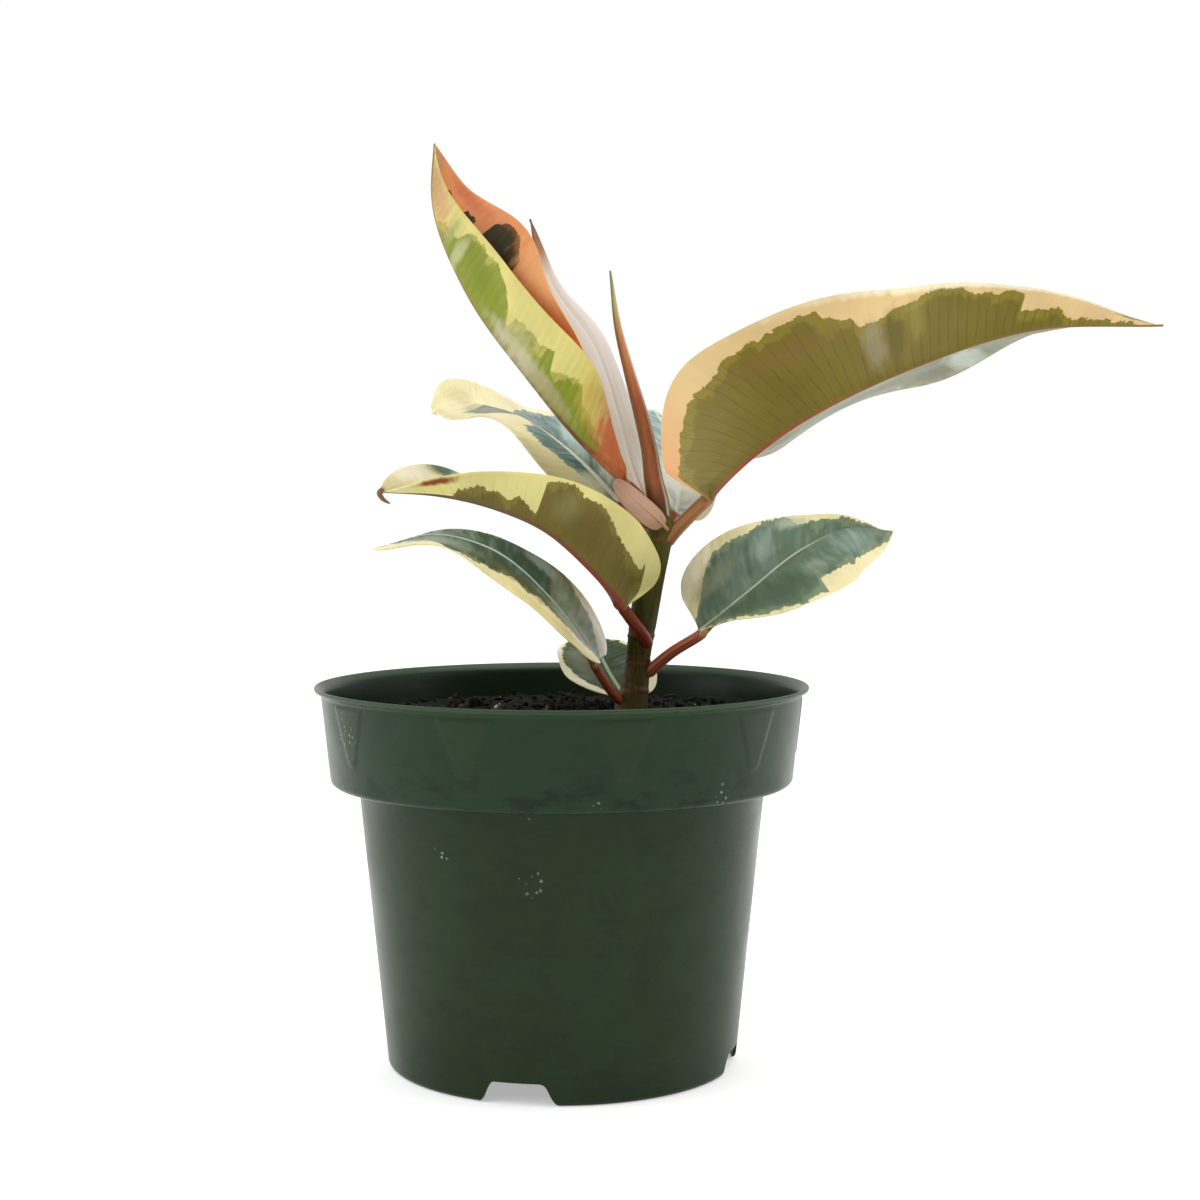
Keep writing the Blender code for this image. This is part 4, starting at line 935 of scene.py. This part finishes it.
def build_leaves():
    stipules = {
        "spent_sheath": (stipule_material("papery_stipule", PAPERY_TINTS, 0.6), "dry_sheath"),
        "bud_scale": (stipule_material("fresh_pink_stipule", PINK_TINTS, 0.5), "bud_scale"),
    }
    for name, leaf in LEAVES.items():
        leaf = {**PLAIN_LEAF, **leaf}
        skin, faces, place, marks = leaf_skin(leaf)
        if name in stipules:
            material, slot = stipules[name]
        else:
            material, slot = leaf_material(name, leaf, LOOKS[name]), LEAF_SLOTS.get(name, "leaf_upper_side")
        obj = make_piece(name + "_skin", skin, faces, material, name, LIVING_SMOOTH_ANGLE)
        set_attribute(obj, "leaf_place", place)
        set_attribute(obj, "leaf_marks", marks)


def build_dry_tip():
    """The withered drip tip of one leaf, curled down, with creases 0.7 mm wide."""
    material, node, shader = new_material("withered_brown_leaf_tip")
    crease = node("TexNoise", node("TexCoord", output=3), Scale=1.4 / MM, Detail=3.0)
    set_shader(shader, Base_Color=node("TintMix", crease, "#4A2C18", "#A87C54"), Roughness=0.8)

    def creased(radius, height, angle):
        return radius * (1 + 0.15 * np.cos(3 * angle))

    skin, faces = closed_rings(tube_rings(DRY_TIP, 40, 16, creased))
    make_piece("dry_leaf_tip", skin, faces, material, "leaf_mid_left")


# Stem and bud


def tube_rings(sections, steps, sides, shape):
    """Rings round a curved centre line. shape gives each point's radius from its height and angle."""
    line = np.array([(*centre, radius) for centre, radius in sections])
    path, _, _ = curve_at(line, np.linspace(0, 1, steps))
    centres, radii = path[:, :3], path[:, 3]
    tangents = unit(np.gradient(centres, axis=0))
    across = unit(np.cross(tangents, (0, 1, 0)))
    forwards = np.cross(tangents, across)
    angles = full_turn(sides)
    radius = shape(radii[:, None], centres[:, 2][:, None], angles[None, :])[..., None]
    rings = across[:, None] * np.cos(angles)[:, None] + forwards[:, None] * np.sin(angles)[:, None]
    return centres[:, None] + radius * rings


def scar_heights(angle):
    """Height of each scar's ring at an angle round the stem."""
    return [scar + SCAR_TILT * np.cos(angle - SCAR_TURN * k) for k, scar in enumerate(STEM_SCARS)]


def stem_radius(radius, height, angle):
    """Bark: shallow lengthwise ribs, and at each old leaf a narrow ring that stands out and leans."""
    (ribs, rise), (fine_ribs, fine_rise) = STEM_RIBS, STEM_FINE_RIBS
    above, depth, reach = SCAR_GROOVE
    coarse = rise * np.cos(ribs * angle + 0.9 * np.sin(0.21 * height))
    made = radius + (coarse + fine_rise * np.cos(fine_ribs * angle + 0.3 * height))
    for at in scar_heights(angle):
        ring = SCAR_RISE * np.exp(-((height - at) / SCAR_REACH) ** 2)
        groove = depth * np.exp(-((height - at - above) / reach) ** 2)
        made = made + ring - groove
    return made


def bark_material():
    """Young ficus bark: brown below and olive green above, matt, with pale lengthwise fibres 0.7 mm apart,
    blotches 5 mm wide and brown rings where leaves have fallen."""
    material, node, shader = new_material("young_ficus_bark")
    place = in_millimetres(node)
    height = node("SeparateXYZ", place, output=2)
    streak = stretched_noise(node, place, (1.5, 1.5, 0.12), Detail=4.0, Roughness=0.6)
    blotch = node("TexNoise", place, Scale=0.22, Detail=3.0)
    share = node("MapRange", node("MULTIPLY_ADD", blotch, 14.0, height), 116.6, 181.6)
    body = node("ValToRGB", share, stops=STEM_GREENS)
    body = node("TintMix", node("SoftStep", streak, 0.45, 0.75, 0.0, 0.4), body, "#6A6428")
    body = node("TintMix", node("Attribute", attribute_name="scar", output=2), body, "#6E4426")
    fine = node("TexNoise", place, Scale=2.5, Detail=3.0)
    bump = node("Bump", Strength=0.35, Distance=0.25 * MM, Height=node("ADD", streak, fine))
    set_shader(shader, Base_Color=body, Roughness=0.6, Normal=bump, IOR=1.45, Specular_IOR_Level=0.2)
    return material


def build_stem():
    skin, faces = closed_rings(tube_rings(STEM, STEM_STEPS, STEM_SIDES, stem_radius))
    obj = make_piece("stem_bark", skin, faces, bark_material(), "stem")
    angle = np.arctan2(skin[:, 1], skin[:, 0] - STEM_LEAN_MIDDLE)
    strength, reach = SCAR_TINT
    rings = [strength * np.exp(-((skin[:, 2] - at) / reach) ** 2) for at in scar_heights(angle)]
    set_attribute(obj, "scar", np.max(rings, axis=0))


def bud_seam(height):
    """How far round the bud the edge of its outer wrap has wound at a height, in radians."""
    return WRAP_START + WRAP_WINDS * (height - BUD[0][0][2])


def bud_radius(radius, height, angle):
    """A rolled sheath: slightly flattened, with the edge of its outer wrap winding up it."""
    edge = ((angle - bud_seam(height)) / (2 * np.pi)) % 1.0
    flattened = radius * (1 + BUD_FLATNESS * np.cos(2 * angle))
    return flattened + WRAP_THICKNESS * (1 - edge) * np.minimum(radius, 1.0) - 0.1


def bud_material():
    """Fresh bud sheath: smooth, satin, painted dark at its foot as painted shadow where it leaves the stem,
    olive brown on its left side, brick red to orange, and pale along the edge of its wrap, with faint
    streaks 0.6 mm apart."""
    material, node, shader = new_material("smooth_bud_sheath")
    place = in_millimetres(node)
    share = node("MapRange", node("SeparateXYZ", place, output=2), 173.6, 253.6)
    body = node("ValToRGB", share, stops=BUD_REDS)
    body = node("TintMix", node("Attribute", attribute_name="left_side", output=2), body, "#6E4A1C")
    streak = stretched_noise(node, place, (1.6, 1.6, 0.08), Detail=3.0)
    body = shaded(node, body, streak, 0.25, 0.75, 0.78, 1.18)
    body = node("TintMix", node("Attribute", attribute_name="wrap_edge", output=2), body, "#D9C6A8")
    bump = node("Bump", Strength=0.1, Distance=0.2 * MM, Height=streak)
    set_shader(shader, Base_Color=body, Roughness=0.45, Normal=bump, IOR=1.45, Specular_IOR_Level=0.3)
    return material


def build_bud():
    skin, faces = closed_rings(tube_rings(BUD, BUD_STEPS, BUD_SIDES, bud_radius))
    obj = make_piece("bud_sheath", skin, faces, bud_material(), "terminal_bud",
                     smooth_angle=LIVING_SMOOTH_ANGLE)
    angle = np.append(np.tile(full_turn(BUD_SIDES), BUD_STEPS), (0, 0))
    set_attribute(obj, "left_side", 0.8 * smooth(0.35, 0.95, np.cos(angle - 0.3)))
    set_attribute(obj, "wrap_edge", 0.8 * np.exp(-((angle - bud_seam(skin[:, 2])) / WRAP_EDGE) ** 2))


# Pot


def arc(centre, radius, start, end, steps):
    """Points of a round corner in a profile, angles in degrees from +radius towards +Z."""
    angles = np.radians(np.linspace(start, end, steps + 1))
    return [(centre[0] + radius * math.cos(a), centre[1] + radius * math.sin(a)) for a in angles]


def wall_radius(height):
    """Outer radius of the pot's body and band."""
    if height >= BAND_FOOT:
        share = (height - BAND_FOOT) / (LIP_FOOT - BAND_FOOT)
        return BAND_FOOT_RADIUS + share * (BAND_TOP_RADIUS - BAND_FOOT_RADIUS)
    return BODY_FOOT_RADIUS + height / BAND_FOOT * (BODY_TOP_RADIUS - BODY_FOOT_RADIUS)


def pot_profile():
    """The pot's profile: from the middle of its underside, up its outside, over the lip and down inside."""

    def wall(heights, thickness=0.0):
        """Points of the wall at some heights, in by the wall's thickness."""
        return [(wall_radius(z) - thickness, z) for z in heights]

    under = BAND_FOOT - BAND_FILLET
    corner = wall_radius(BAND_FOOT + EDGE_RADIUS) - EDGE_RADIUS
    flare = LIP_RADIUS - BAND_TOP_RADIUS
    lip_rise = LIP_THICKNESS - 2 * LIP_EDGE_RADIUS
    ledge = BAND_FOOT + WALL
    profile = [(0, 0), (BAY_INNER_RADIUS, 0)]
    profile += arc((wall_radius(EDGE_RADIUS) - EDGE_RADIUS, EDGE_RADIUS), EDGE_RADIUS, -90, 0, 8)
    profile += wall(np.linspace(EDGE_RADIUS, under, 12)[1:])
    profile += [(wall_radius(under) + 0.2, BAND_FOOT - 0.12), (wall_radius(under) + BAND_FILLET, BAND_FOOT)]
    profile += arc((corner, BAND_FOOT + EDGE_RADIUS), EDGE_RADIUS, -90, 0, 8)
    profile += wall(np.linspace(BAND_FOOT + EDGE_RADIUS, LIP_FOOT - 0.4, BAND_ROWS)[1:])
    profile += [(BAND_TOP_RADIUS + flare * share ** 2, LIP_FOOT + lip_rise * share)
                for share in (0.0, 0.25, 0.5, 0.7, 0.85, 0.95)]
    lip_edge = (LIP_RADIUS - LIP_EDGE_RADIUS, POT_HEIGHT - LIP_EDGE_RADIUS)
    profile += arc(lip_edge, LIP_EDGE_RADIUS, -30, 120, 10)
    inner_foot = LIP_FOOT - LIP_INNER_DROP
    profile += [(BAND_TOP_RADIUS - WALL + flare * share ** 2, inner_foot + LIP_THICKNESS * share)
                for share in (0.85, 0.7, 0.5, 0.25)]
    profile += wall(np.linspace(inner_foot, ledge + 1, 6), WALL)
    profile += [(BODY_TOP_RADIUS - WALL, ledge), *wall([FLOOR + 1], WALL)]
    profile += [(wall_radius(FLOOR) - WALL - 1, FLOOR), (BAY_INNER_RADIUS - 4, FLOOR), (0, FLOOR)]
    return profile


def panel_relief(x, z):
    """How far the wall stands proud at a place on the band, x millimetres round from a panel's middle."""
    climb = (z - PANEL_SHOULDER_Z) / (PANEL_TOP_Z - PANEL_SHOULDER_Z)
    half = (PANEL_SHOULDER_WIDTH + climb * (PANEL_TOP_WIDTH - PANEL_SHOULDER_WIDTH)) / 2
    from_point = np.clip(PANEL_POINT_RADIUS ** 2 - (z - PANEL_POINT_Z - PANEL_POINT_RADIUS) ** 2, 0, None)
    half = np.where(z < PANEL_SHOULDER_Z, np.sqrt(from_point), half)
    inside = np.minimum(half - np.abs(x), PANEL_TOP_Z - z)
    return PANEL_RISE * smooth(-PANEL_EDGE / 2, PANEL_EDGE / 2, inside) * (z > PANEL_POINT_Z - 1)


def level_ring(radius, height, turns):
    """Points round the pot's axis at one height."""
    return np.stack([radius * np.cos(turns), radius * np.sin(turns), np.full(len(turns), height)], 1)


def turned_pot():
    """The pot turned about its axis, with the V panels raised on its band."""
    points, rings = [], []
    turns = full_turn(POT_SIDES)
    step = math.radians(360 / PANELS)
    first = math.radians(PANEL_FIRST_ANGLE - 90)
    from_panel = (turns - first + step / 2) % step - step / 2
    outside = True
    for radius, height in pot_profile():
        if radius == 0:
            rings.append([len(points)] * POT_SIDES)
            points.append((0, 0, height))
            continue
        outside = outside and height < LIP_FOOT
        reach = np.full(POT_SIDES, float(radius))
        if outside and height > PANEL_POINT_Z - 2:
            reach += panel_relief(from_panel * radius, height)
        rings.append(list(range(len(points), len(points) + POT_SIDES)))
        points += level_ring(reach, height, turns).tolist()
    faces = []
    for low, high in zip(rings, rings[1:]):
        for k in range(POT_SIDES):
            after = (k + 1) % POT_SIDES
            faces.append(tuple(dict.fromkeys((low[k], low[after], high[after], high[k]))))
    return points, faces


def wedge(angle, levels, inner, outer, steps=10):
    """A block between two radii whose half angle changes with height, as levels of (height, half angle)."""
    rings = []
    for height, half_angle in levels:
        turns = np.radians(angle - 90 + np.linspace(-half_angle, half_angle, steps + 1))
        near, far = (reach(height) if callable(reach) else reach for reach in (inner, outer))
        ring = [(near * math.cos(t), near * math.sin(t), height) for t in turns]
        ring += [(far * math.cos(t), far * math.sin(t), height) for t in turns[::-1]]
        rings.append(ring)
    return closed_rings(np.array(rings))


def shaping_tool(name, points, faces):
    """A closed solid that faces outwards: the shape that is carved, or a tool that cuts or joins it."""
    mesh = bpy.data.meshes.new(name)
    mesh.from_pydata(np.asarray(points).tolist(), [], faces)
    shape = bmesh.new()
    shape.from_mesh(mesh)
    bmesh.ops.recalc_face_normals(shape, faces=shape.faces)
    shape.to_mesh(mesh)
    shape.free()
    return new_object(name, mesh)


def carved(points, faces, tools):
    """A mesh after joining and cutting it with tools, which are (operation, name, points, faces)."""
    base = shaping_tool("carving", points, faces)
    helpers = []
    for operation, name, tool_points, tool_faces in tools:
        helpers.append(shaping_tool(name, tool_points, tool_faces))
        modifier = base.modifiers.new(name, "BOOLEAN")
        modifier.operation = operation
        modifier.object = helpers[-1]
        modifier.solver = "MANIFOLD"
    graph = bpy.context.evaluated_depsgraph_get()
    mesh = bpy.data.meshes.new_from_object(base.evaluated_get(graph))
    points = [tuple(v.co) for v in mesh.vertices]
    faces = [tuple(p.vertices) for p in mesh.polygons]
    for helper in [base, *helpers]:
        bpy.data.objects.remove(helper, do_unlink=True)
    return points, faces


def y_of_front(across, up):
    """How far forward the pot's wall stands at a place seen from the front."""
    return -math.sqrt(wall_radius(up) ** 2 - across ** 2)


def pot_material():
    """Moulded polypropylene, dark green: satin, with flow marks 30 mm long, scuffs 10 mm wide, dried
    splashes in drops of 1 to 2 mm, and a fine grain of 0.6 mm in its relief."""
    material, node, shader = new_material("moulded_green_polypropylene")
    place = in_millimetres(node)
    x, y, height = node("SeparateXYZ", place).node.outputs
    flow = node("TexNoise", place, Scale=0.035, Detail=3.0, Distortion=0.8)
    body = node("TintMix", node("SoftStep", flow, 0.25, 0.75), *POT_GREENS)

    # the upper band is painted a shade deeper and bluer than the wall below it, and the wall below paler:
    # painted light and shade that evens out light which is stronger at the top
    band = node("MapRange", height, BAND_FOOT - 1, BAND_FOOT + 1, 0.0, 0.85)
    body = node("TintMix", band, body, BAND_GREEN)

    # the V panels come out of the mould a little more olive, and only on the outside
    turn = node("SUBTRACT", node("ARCTAN2", y, x), math.radians(PANEL_FIRST_ANGLE - 90))
    round_from = node("MULTIPLY", node("PINGPONG", turn, math.pi / PANELS), BAND_TOP_RADIUS)
    half_panel = node("MapRange", height, PANEL_SHOULDER_Z, PANEL_TOP_Z, PANEL_SHOULDER_WIDTH / 2,
                      PANEL_TOP_WIDTH / 2)
    panel = node("SoftStep", node("SUBTRACT", half_panel, round_from), -0.5, 0.5, 0.0, 0.5)
    panel = node("MULTIPLY", panel, node("GREATER_THAN", height, PANEL_POINT_Z))
    from_axis = node("VectorMath", node("CombineXYZ", x, y), operation="LENGTH")
    mid_wall = node("MapRange", height, BAND_FOOT, LIP_FOOT, BAND_FOOT_RADIUS - WALL / 2,
                    BAND_TOP_RADIUS - WALL / 2)
    outside = node("GREATER_THAN", from_axis, mid_wall)
    body = node("TintMix", node("MULTIPLY", panel, outside), body, PANEL_GREEN)

    # the inside is painted darker: painted shade inside the wall
    body = node("TintMix", node("MapRange", outside, 0.0, 1.0, 0.7, 0.0), body, INSIDE_PAINTED_SHADE)

    # darker marks, low on the band and fainter on the body
    mark = stretched_noise(node, place, (1.0, 1.0, 2.0), Scale=0.1, Detail=4.0, Roughness=0.65)
    mark = node("SoftStep", mark, 0.44, 0.68)
    low = node("MapRange", height, 106.0, 94.0, 0.25, 1.0)
    low = node("MULTIPLY", low, node("MapRange", band, 0.0, 0.85, 0.4, 1.0))
    mark = node("MULTIPLY", node("MULTIPLY", mark, low), 0.8)
    body = node("TintMix", mark, body, MARK_GREEN)

    # pale specks of dried splashes: a few loose clusters, and the ones on the front
    where = node("SoftStep", node("TexNoise", place, Scale=0.045, Detail=1.0), 0.72, 0.8)
    for across, up, reach in SPLASHES:
        off = node("VectorMath", place, (across, y_of_front(across, up), up), operation="DISTANCE")
        where = node("MAXIMUM", where, node("MapRange", off, 0.5 * reach, reach, 1.0, 0.0))
    drops = node("TexVoronoi", place, Scale=0.5, Randomness=1.0)
    ragged = node("TexNoise", place, Scale=2.2, Detail=3.0)
    drops = node("SoftStep", node("MULTIPLY_ADD", ragged, 0.55, drops), 0.44, 0.56, 1.0, 0.0)
    dust = node("MULTIPLY", node("MULTIPLY", where, drops), 0.75)
    body = node("TintMix", dust, body, SPLASH_GREY)

    # the rolled lip is painted paler: a painted highlight along its bead, for the light it catches and lets
    # through
    lip = node("SoftStep", height, LIP_FOOT, POT_HEIGHT - LIP_EDGE_RADIUS, 0.0, 0.8)
    body = node("TintMix", lip, body, LIP_PAINTED_HIGHLIGHT)

    grain = node("TexNoise", place, Scale=1.6, Detail=4.0, Roughness=0.6)
    rough = node("MULTIPLY_ADD", dust, 0.5, node("MapRange", flow, 0.3, 0.7, 0.24, 0.36))
    relief = node("MULTIPLY_ADD", flow, 6.0, grain)
    bump = node("Bump", Strength=0.12, Distance=0.25 * MM, Height=relief)
    set_shader(shader, Base_Color=body, Roughness=rough, Normal=bump, IOR=1.49, Specular_IOR_Level=0.12)
    return material


def build_pot():
    tools = []
    for k in range(BAYS):
        angle = BAY_FIRST_ANGLE + 360 * k / BAYS
        grown = BAY_HALF_ANGLE + math.degrees(FLOOR / BAY_INNER_RADIUS)
        housing = wedge(angle, ((FLOOR / 2, grown), (BAY_HEIGHT + FLOOR, grown)), BAY_INNER_RADIUS - FLOOR,
                        lambda z: wall_radius(z) - WALL / 2, BAY_STEPS)
        pocket = wedge(angle, ((-1.0, BAY_HALF_ANGLE), (BAY_HEIGHT, BAY_HALF_ANGLE)), BAY_INNER_RADIUS,
                       lambda z: wall_radius(z) - WALL, BAY_STEPS)
        notch = wedge(angle, NOTCH, BODY_FOOT_RADIUS - NOTCH_DEPTH, LIP_RADIUS)
        at = math.radians(angle - 90)
        hole = [[(DRAIN_HOLE_AT * math.cos(at) + DRAIN_HOLE_RADIUS * math.cos(t),
                  DRAIN_HOLE_AT * math.sin(at) + DRAIN_HOLE_RADIUS * math.sin(t), z)
                 for t in full_turn(DRAIN_HOLE_SIDES)] for z in DRAIN_HOLE_CUT]
        tools.append(("UNION", f"bay_housing_{k}", *housing))
        tools.append(("DIFFERENCE", f"bay_{k}", *pocket))
        tools.append(("DIFFERENCE", f"notch_{k}", *notch))
        tools.append(("DIFFERENCE", f"drain_hole_{k}", *closed_rings(np.array(hole))))
    points, faces = carved(*turned_pot(), tools)
    make_piece("pot_moulding", points, faces, pot_material(), "pot", POT_SMOOTH_ANGLE)


# Potting mix


def mix_height(x, y):
    """Top of the potting mix: level at the wall, mounded round the stem, in swells 20 mm and 7 mm long."""
    from_stem = math.hypot(x - STEM_AT_MIX, y)
    mound = MIX_MOUND * math.exp(-(from_stem / MIX_MOUND_RADIUS) ** 2)
    swells = math.sin(0.31 * x + 1.3) * math.cos(0.27 * y - 0.4) + 0.6 * math.sin(0.71 * x - 0.53 * y)
    loose = 1 - math.exp(-(from_stem / SMOOTH_ROUND_STEM) ** 4)
    rough = 0.9 * noise.fractal(Vector((0.35 * x, 0.35 * y, 3.0)), 0.9, 2.1, 5)
    return MIX_EDGE_Z + mound + MIX_RELIEF * swells * loose + rough


def mix_radius(height):
    """Radius of the mix where it stands clear of the inside of the wall."""
    return wall_radius(height) - WALL - GAP


def mix_surface():
    """The mix as rings from the middle of its underside, up the wall and in to the middle of its top."""
    floor = BAY_HEIGHT + FLOOR + GAP
    ledge = BAND_FOOT + WALL + GAP
    top = mix_radius(MIX_EDGE_Z)
    below = ((0.5, floor), (mix_radius(floor), floor), (BODY_TOP_RADIUS - WALL - GAP, ledge),
             (mix_radius(ledge), ledge + 0.5), (top, MIX_EDGE_Z - 3))
    turns = full_turn(MIX_SIDES)
    rings = [level_ring(radius, height, turns) for radius, height in below]
    for share in np.linspace(1, MIX_MIDDLE, MIX_RINGS):
        ring = level_ring(top * share, 0.0, turns)
        ring[:, 2] = [mix_height(x, y) for x, y, _ in ring]
        rings.append(ring)
    return closed_rings(np.array(rings))


def crumb_shape(draw, size, stretch):
    """Points and faces of one rough crumb about its own middle."""
    shape = bmesh.new()
    bmesh.ops.create_icosphere(shape, subdivisions=1 if size < COARSE_CRUMB else 2, radius=1)
    turned_by = draw.uniform(0, 6.28)
    turn = Matrix.Rotation(turned_by, 3, Vector([draw.gauss(0, 1) for _ in range(3)]))
    seed = Vector((draw.uniform(0, 90), draw.uniform(0, 90), 0))
    points = []
    for v in shape.verts:
        rough = 1 + CRUMB_ROUGHNESS * noise.noise(1.4 * v.co + seed)
        points.append(turn @ Vector([size * rough * s * c for s, c in zip(stretch, v.co)]))
    faces = [tuple(v.index for v in face.verts) for face in shape.faces]
    shape.free()
    return points, faces


def build_mix():
    """The mix with its crumbs strewn over it, each pressed a little into it and tinted on its own."""
    draw = random.Random(MIX_SEED)
    skin, faces = mix_surface()
    points = skin.tolist()
    tints = [colour(CRUMB_KINDS[0][3])[:3]] * len(points)
    top = mix_radius(MIX_EDGE_Z)
    for _ in range(CRUMBS):
        pick = draw.random()
        for share, sizes, stretch, tint in CRUMB_KINDS:
            if pick < share:
                break
            pick -= share
        size = draw.uniform(*sizes)
        reach = (top - size * CRUMB_TO_WALL) * math.sqrt(draw.random())
        turn = draw.uniform(0, 2 * math.pi)
        x, y = reach * math.cos(turn), reach * math.sin(turn)
        crumb, crumb_faces = crumb_shape(draw, size, stretch)
        middle = Vector((x, y, mix_height(x, y) + CRUMB_SHOWN * size))
        first = len(points)
        points += [tuple(middle + p) for p in crumb]
        faces += [tuple(first + i for i in face) for face in crumb_faces]
        shade = draw.uniform(*CRUMB_SHADES)
        tints += [tuple(shade * c for c in colour(tint)[:3])] * len(crumb)
    obj = make_piece("mix_surface", points, faces, mix_material(), "potting_mix")
    set_attribute(obj, "tint", tints)


def mix_material():
    """Moist peat mix with bark, sand and perlite: dark, matt and crumbly, with grit of 1 mm and less."""
    material, node, shader = new_material("moist_peat_mix")
    tint = node("Attribute", attribute_name="tint", output=1)
    grit = node("TexNoise", in_millimetres(node), Scale=1.1, Detail=6.0, Roughness=0.7)
    body = shaded(node, tint, grit, 0.3, 0.7, 0.55, 1.35)
    bump = node("Bump", Strength=0.8, Distance=0.5 * MM, Height=grit)
    set_shader(shader, Base_Color=body, Roughness=0.92, Normal=bump, Specular_IOR_Level=0.15)
    return material


# Studio


def build_floor():
    """A plain pale floor of matt card that glows a little, so that no far edge shows from the front."""
    mesh = bpy.data.meshes.new("floor")
    corners = [(x * FLOOR_REACH, y * FLOOR_REACH, 0) for x, y in ((-1, -1), (1, -1), (1, 1), (-1, 1))]
    mesh.from_pydata(corners, [], [(0, 1, 2, 3)])
    floor = new_object("floor", mesh)
    material, _, shader = new_material("matt_white_card")
    set_shader(shader, Base_Color="#F4F4F2", Roughness=0.9, Emission_Color="#FFFFFF",
               Emission_Strength=FLOOR_GLOW)
    mesh.materials.append(material)


def build_room():
    """A white room, dimmer on the viewer's side, and soft lamps above and on both sides."""
    world = bpy.data.worlds.new("white_room")
    bpy.context.scene.world = world
    world.use_nodes = True
    node = functools.partial(add, world.node_tree)
    background = world.node_tree.nodes["Background"]
    depth = node("SeparateXYZ", node("TexCoord"), output=1)
    front = node("SoftStep", depth, ROOM_DARK_FROM, ROOM_WHITE_FROM, ROOM_FRONT, ROOM_BACK)
    set_shader(background, Color="#FFFFFF", Strength=front)
    for name, (place, size, power, tint) in LAMPS.items():
        lamp = bpy.data.lights.new(name, "AREA")
        lamp.size = size
        lamp.energy = power
        lamp.color = tint
        light = new_object(name, lamp)
        light.location = place
        light.rotation_euler = (Vector(LAMPS_FACE) - Vector(place)).to_track_quat("-Z", "Y").to_euler()


def place_camera():
    """The camera, and the plain view of colours that the tints are matched in."""
    camera = bpy.data.cameras.new("camera")
    camera.lens = CAMERA_LENS
    camera.sensor_width = SENSOR
    eye = new_object("camera", camera)
    eye.location = [MM * value for value in CAMERA_AT]
    eye.rotation_euler = (math.radians(90 - CAMERA_DOWN), 0, 0)
    bpy.context.scene.camera = eye
    bpy.context.scene.view_settings.view_transform = "Standard"


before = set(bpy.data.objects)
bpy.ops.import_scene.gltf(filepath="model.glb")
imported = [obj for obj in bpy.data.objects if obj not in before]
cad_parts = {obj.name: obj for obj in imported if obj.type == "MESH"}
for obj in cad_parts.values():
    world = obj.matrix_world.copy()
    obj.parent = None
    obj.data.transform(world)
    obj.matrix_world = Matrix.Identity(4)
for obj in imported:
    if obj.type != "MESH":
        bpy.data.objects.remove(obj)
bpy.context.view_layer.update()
build_pot()
build_mix()
build_stem()
build_bud()
build_leaves()
build_dry_tip()
build_floor()
build_room()
place_camera()
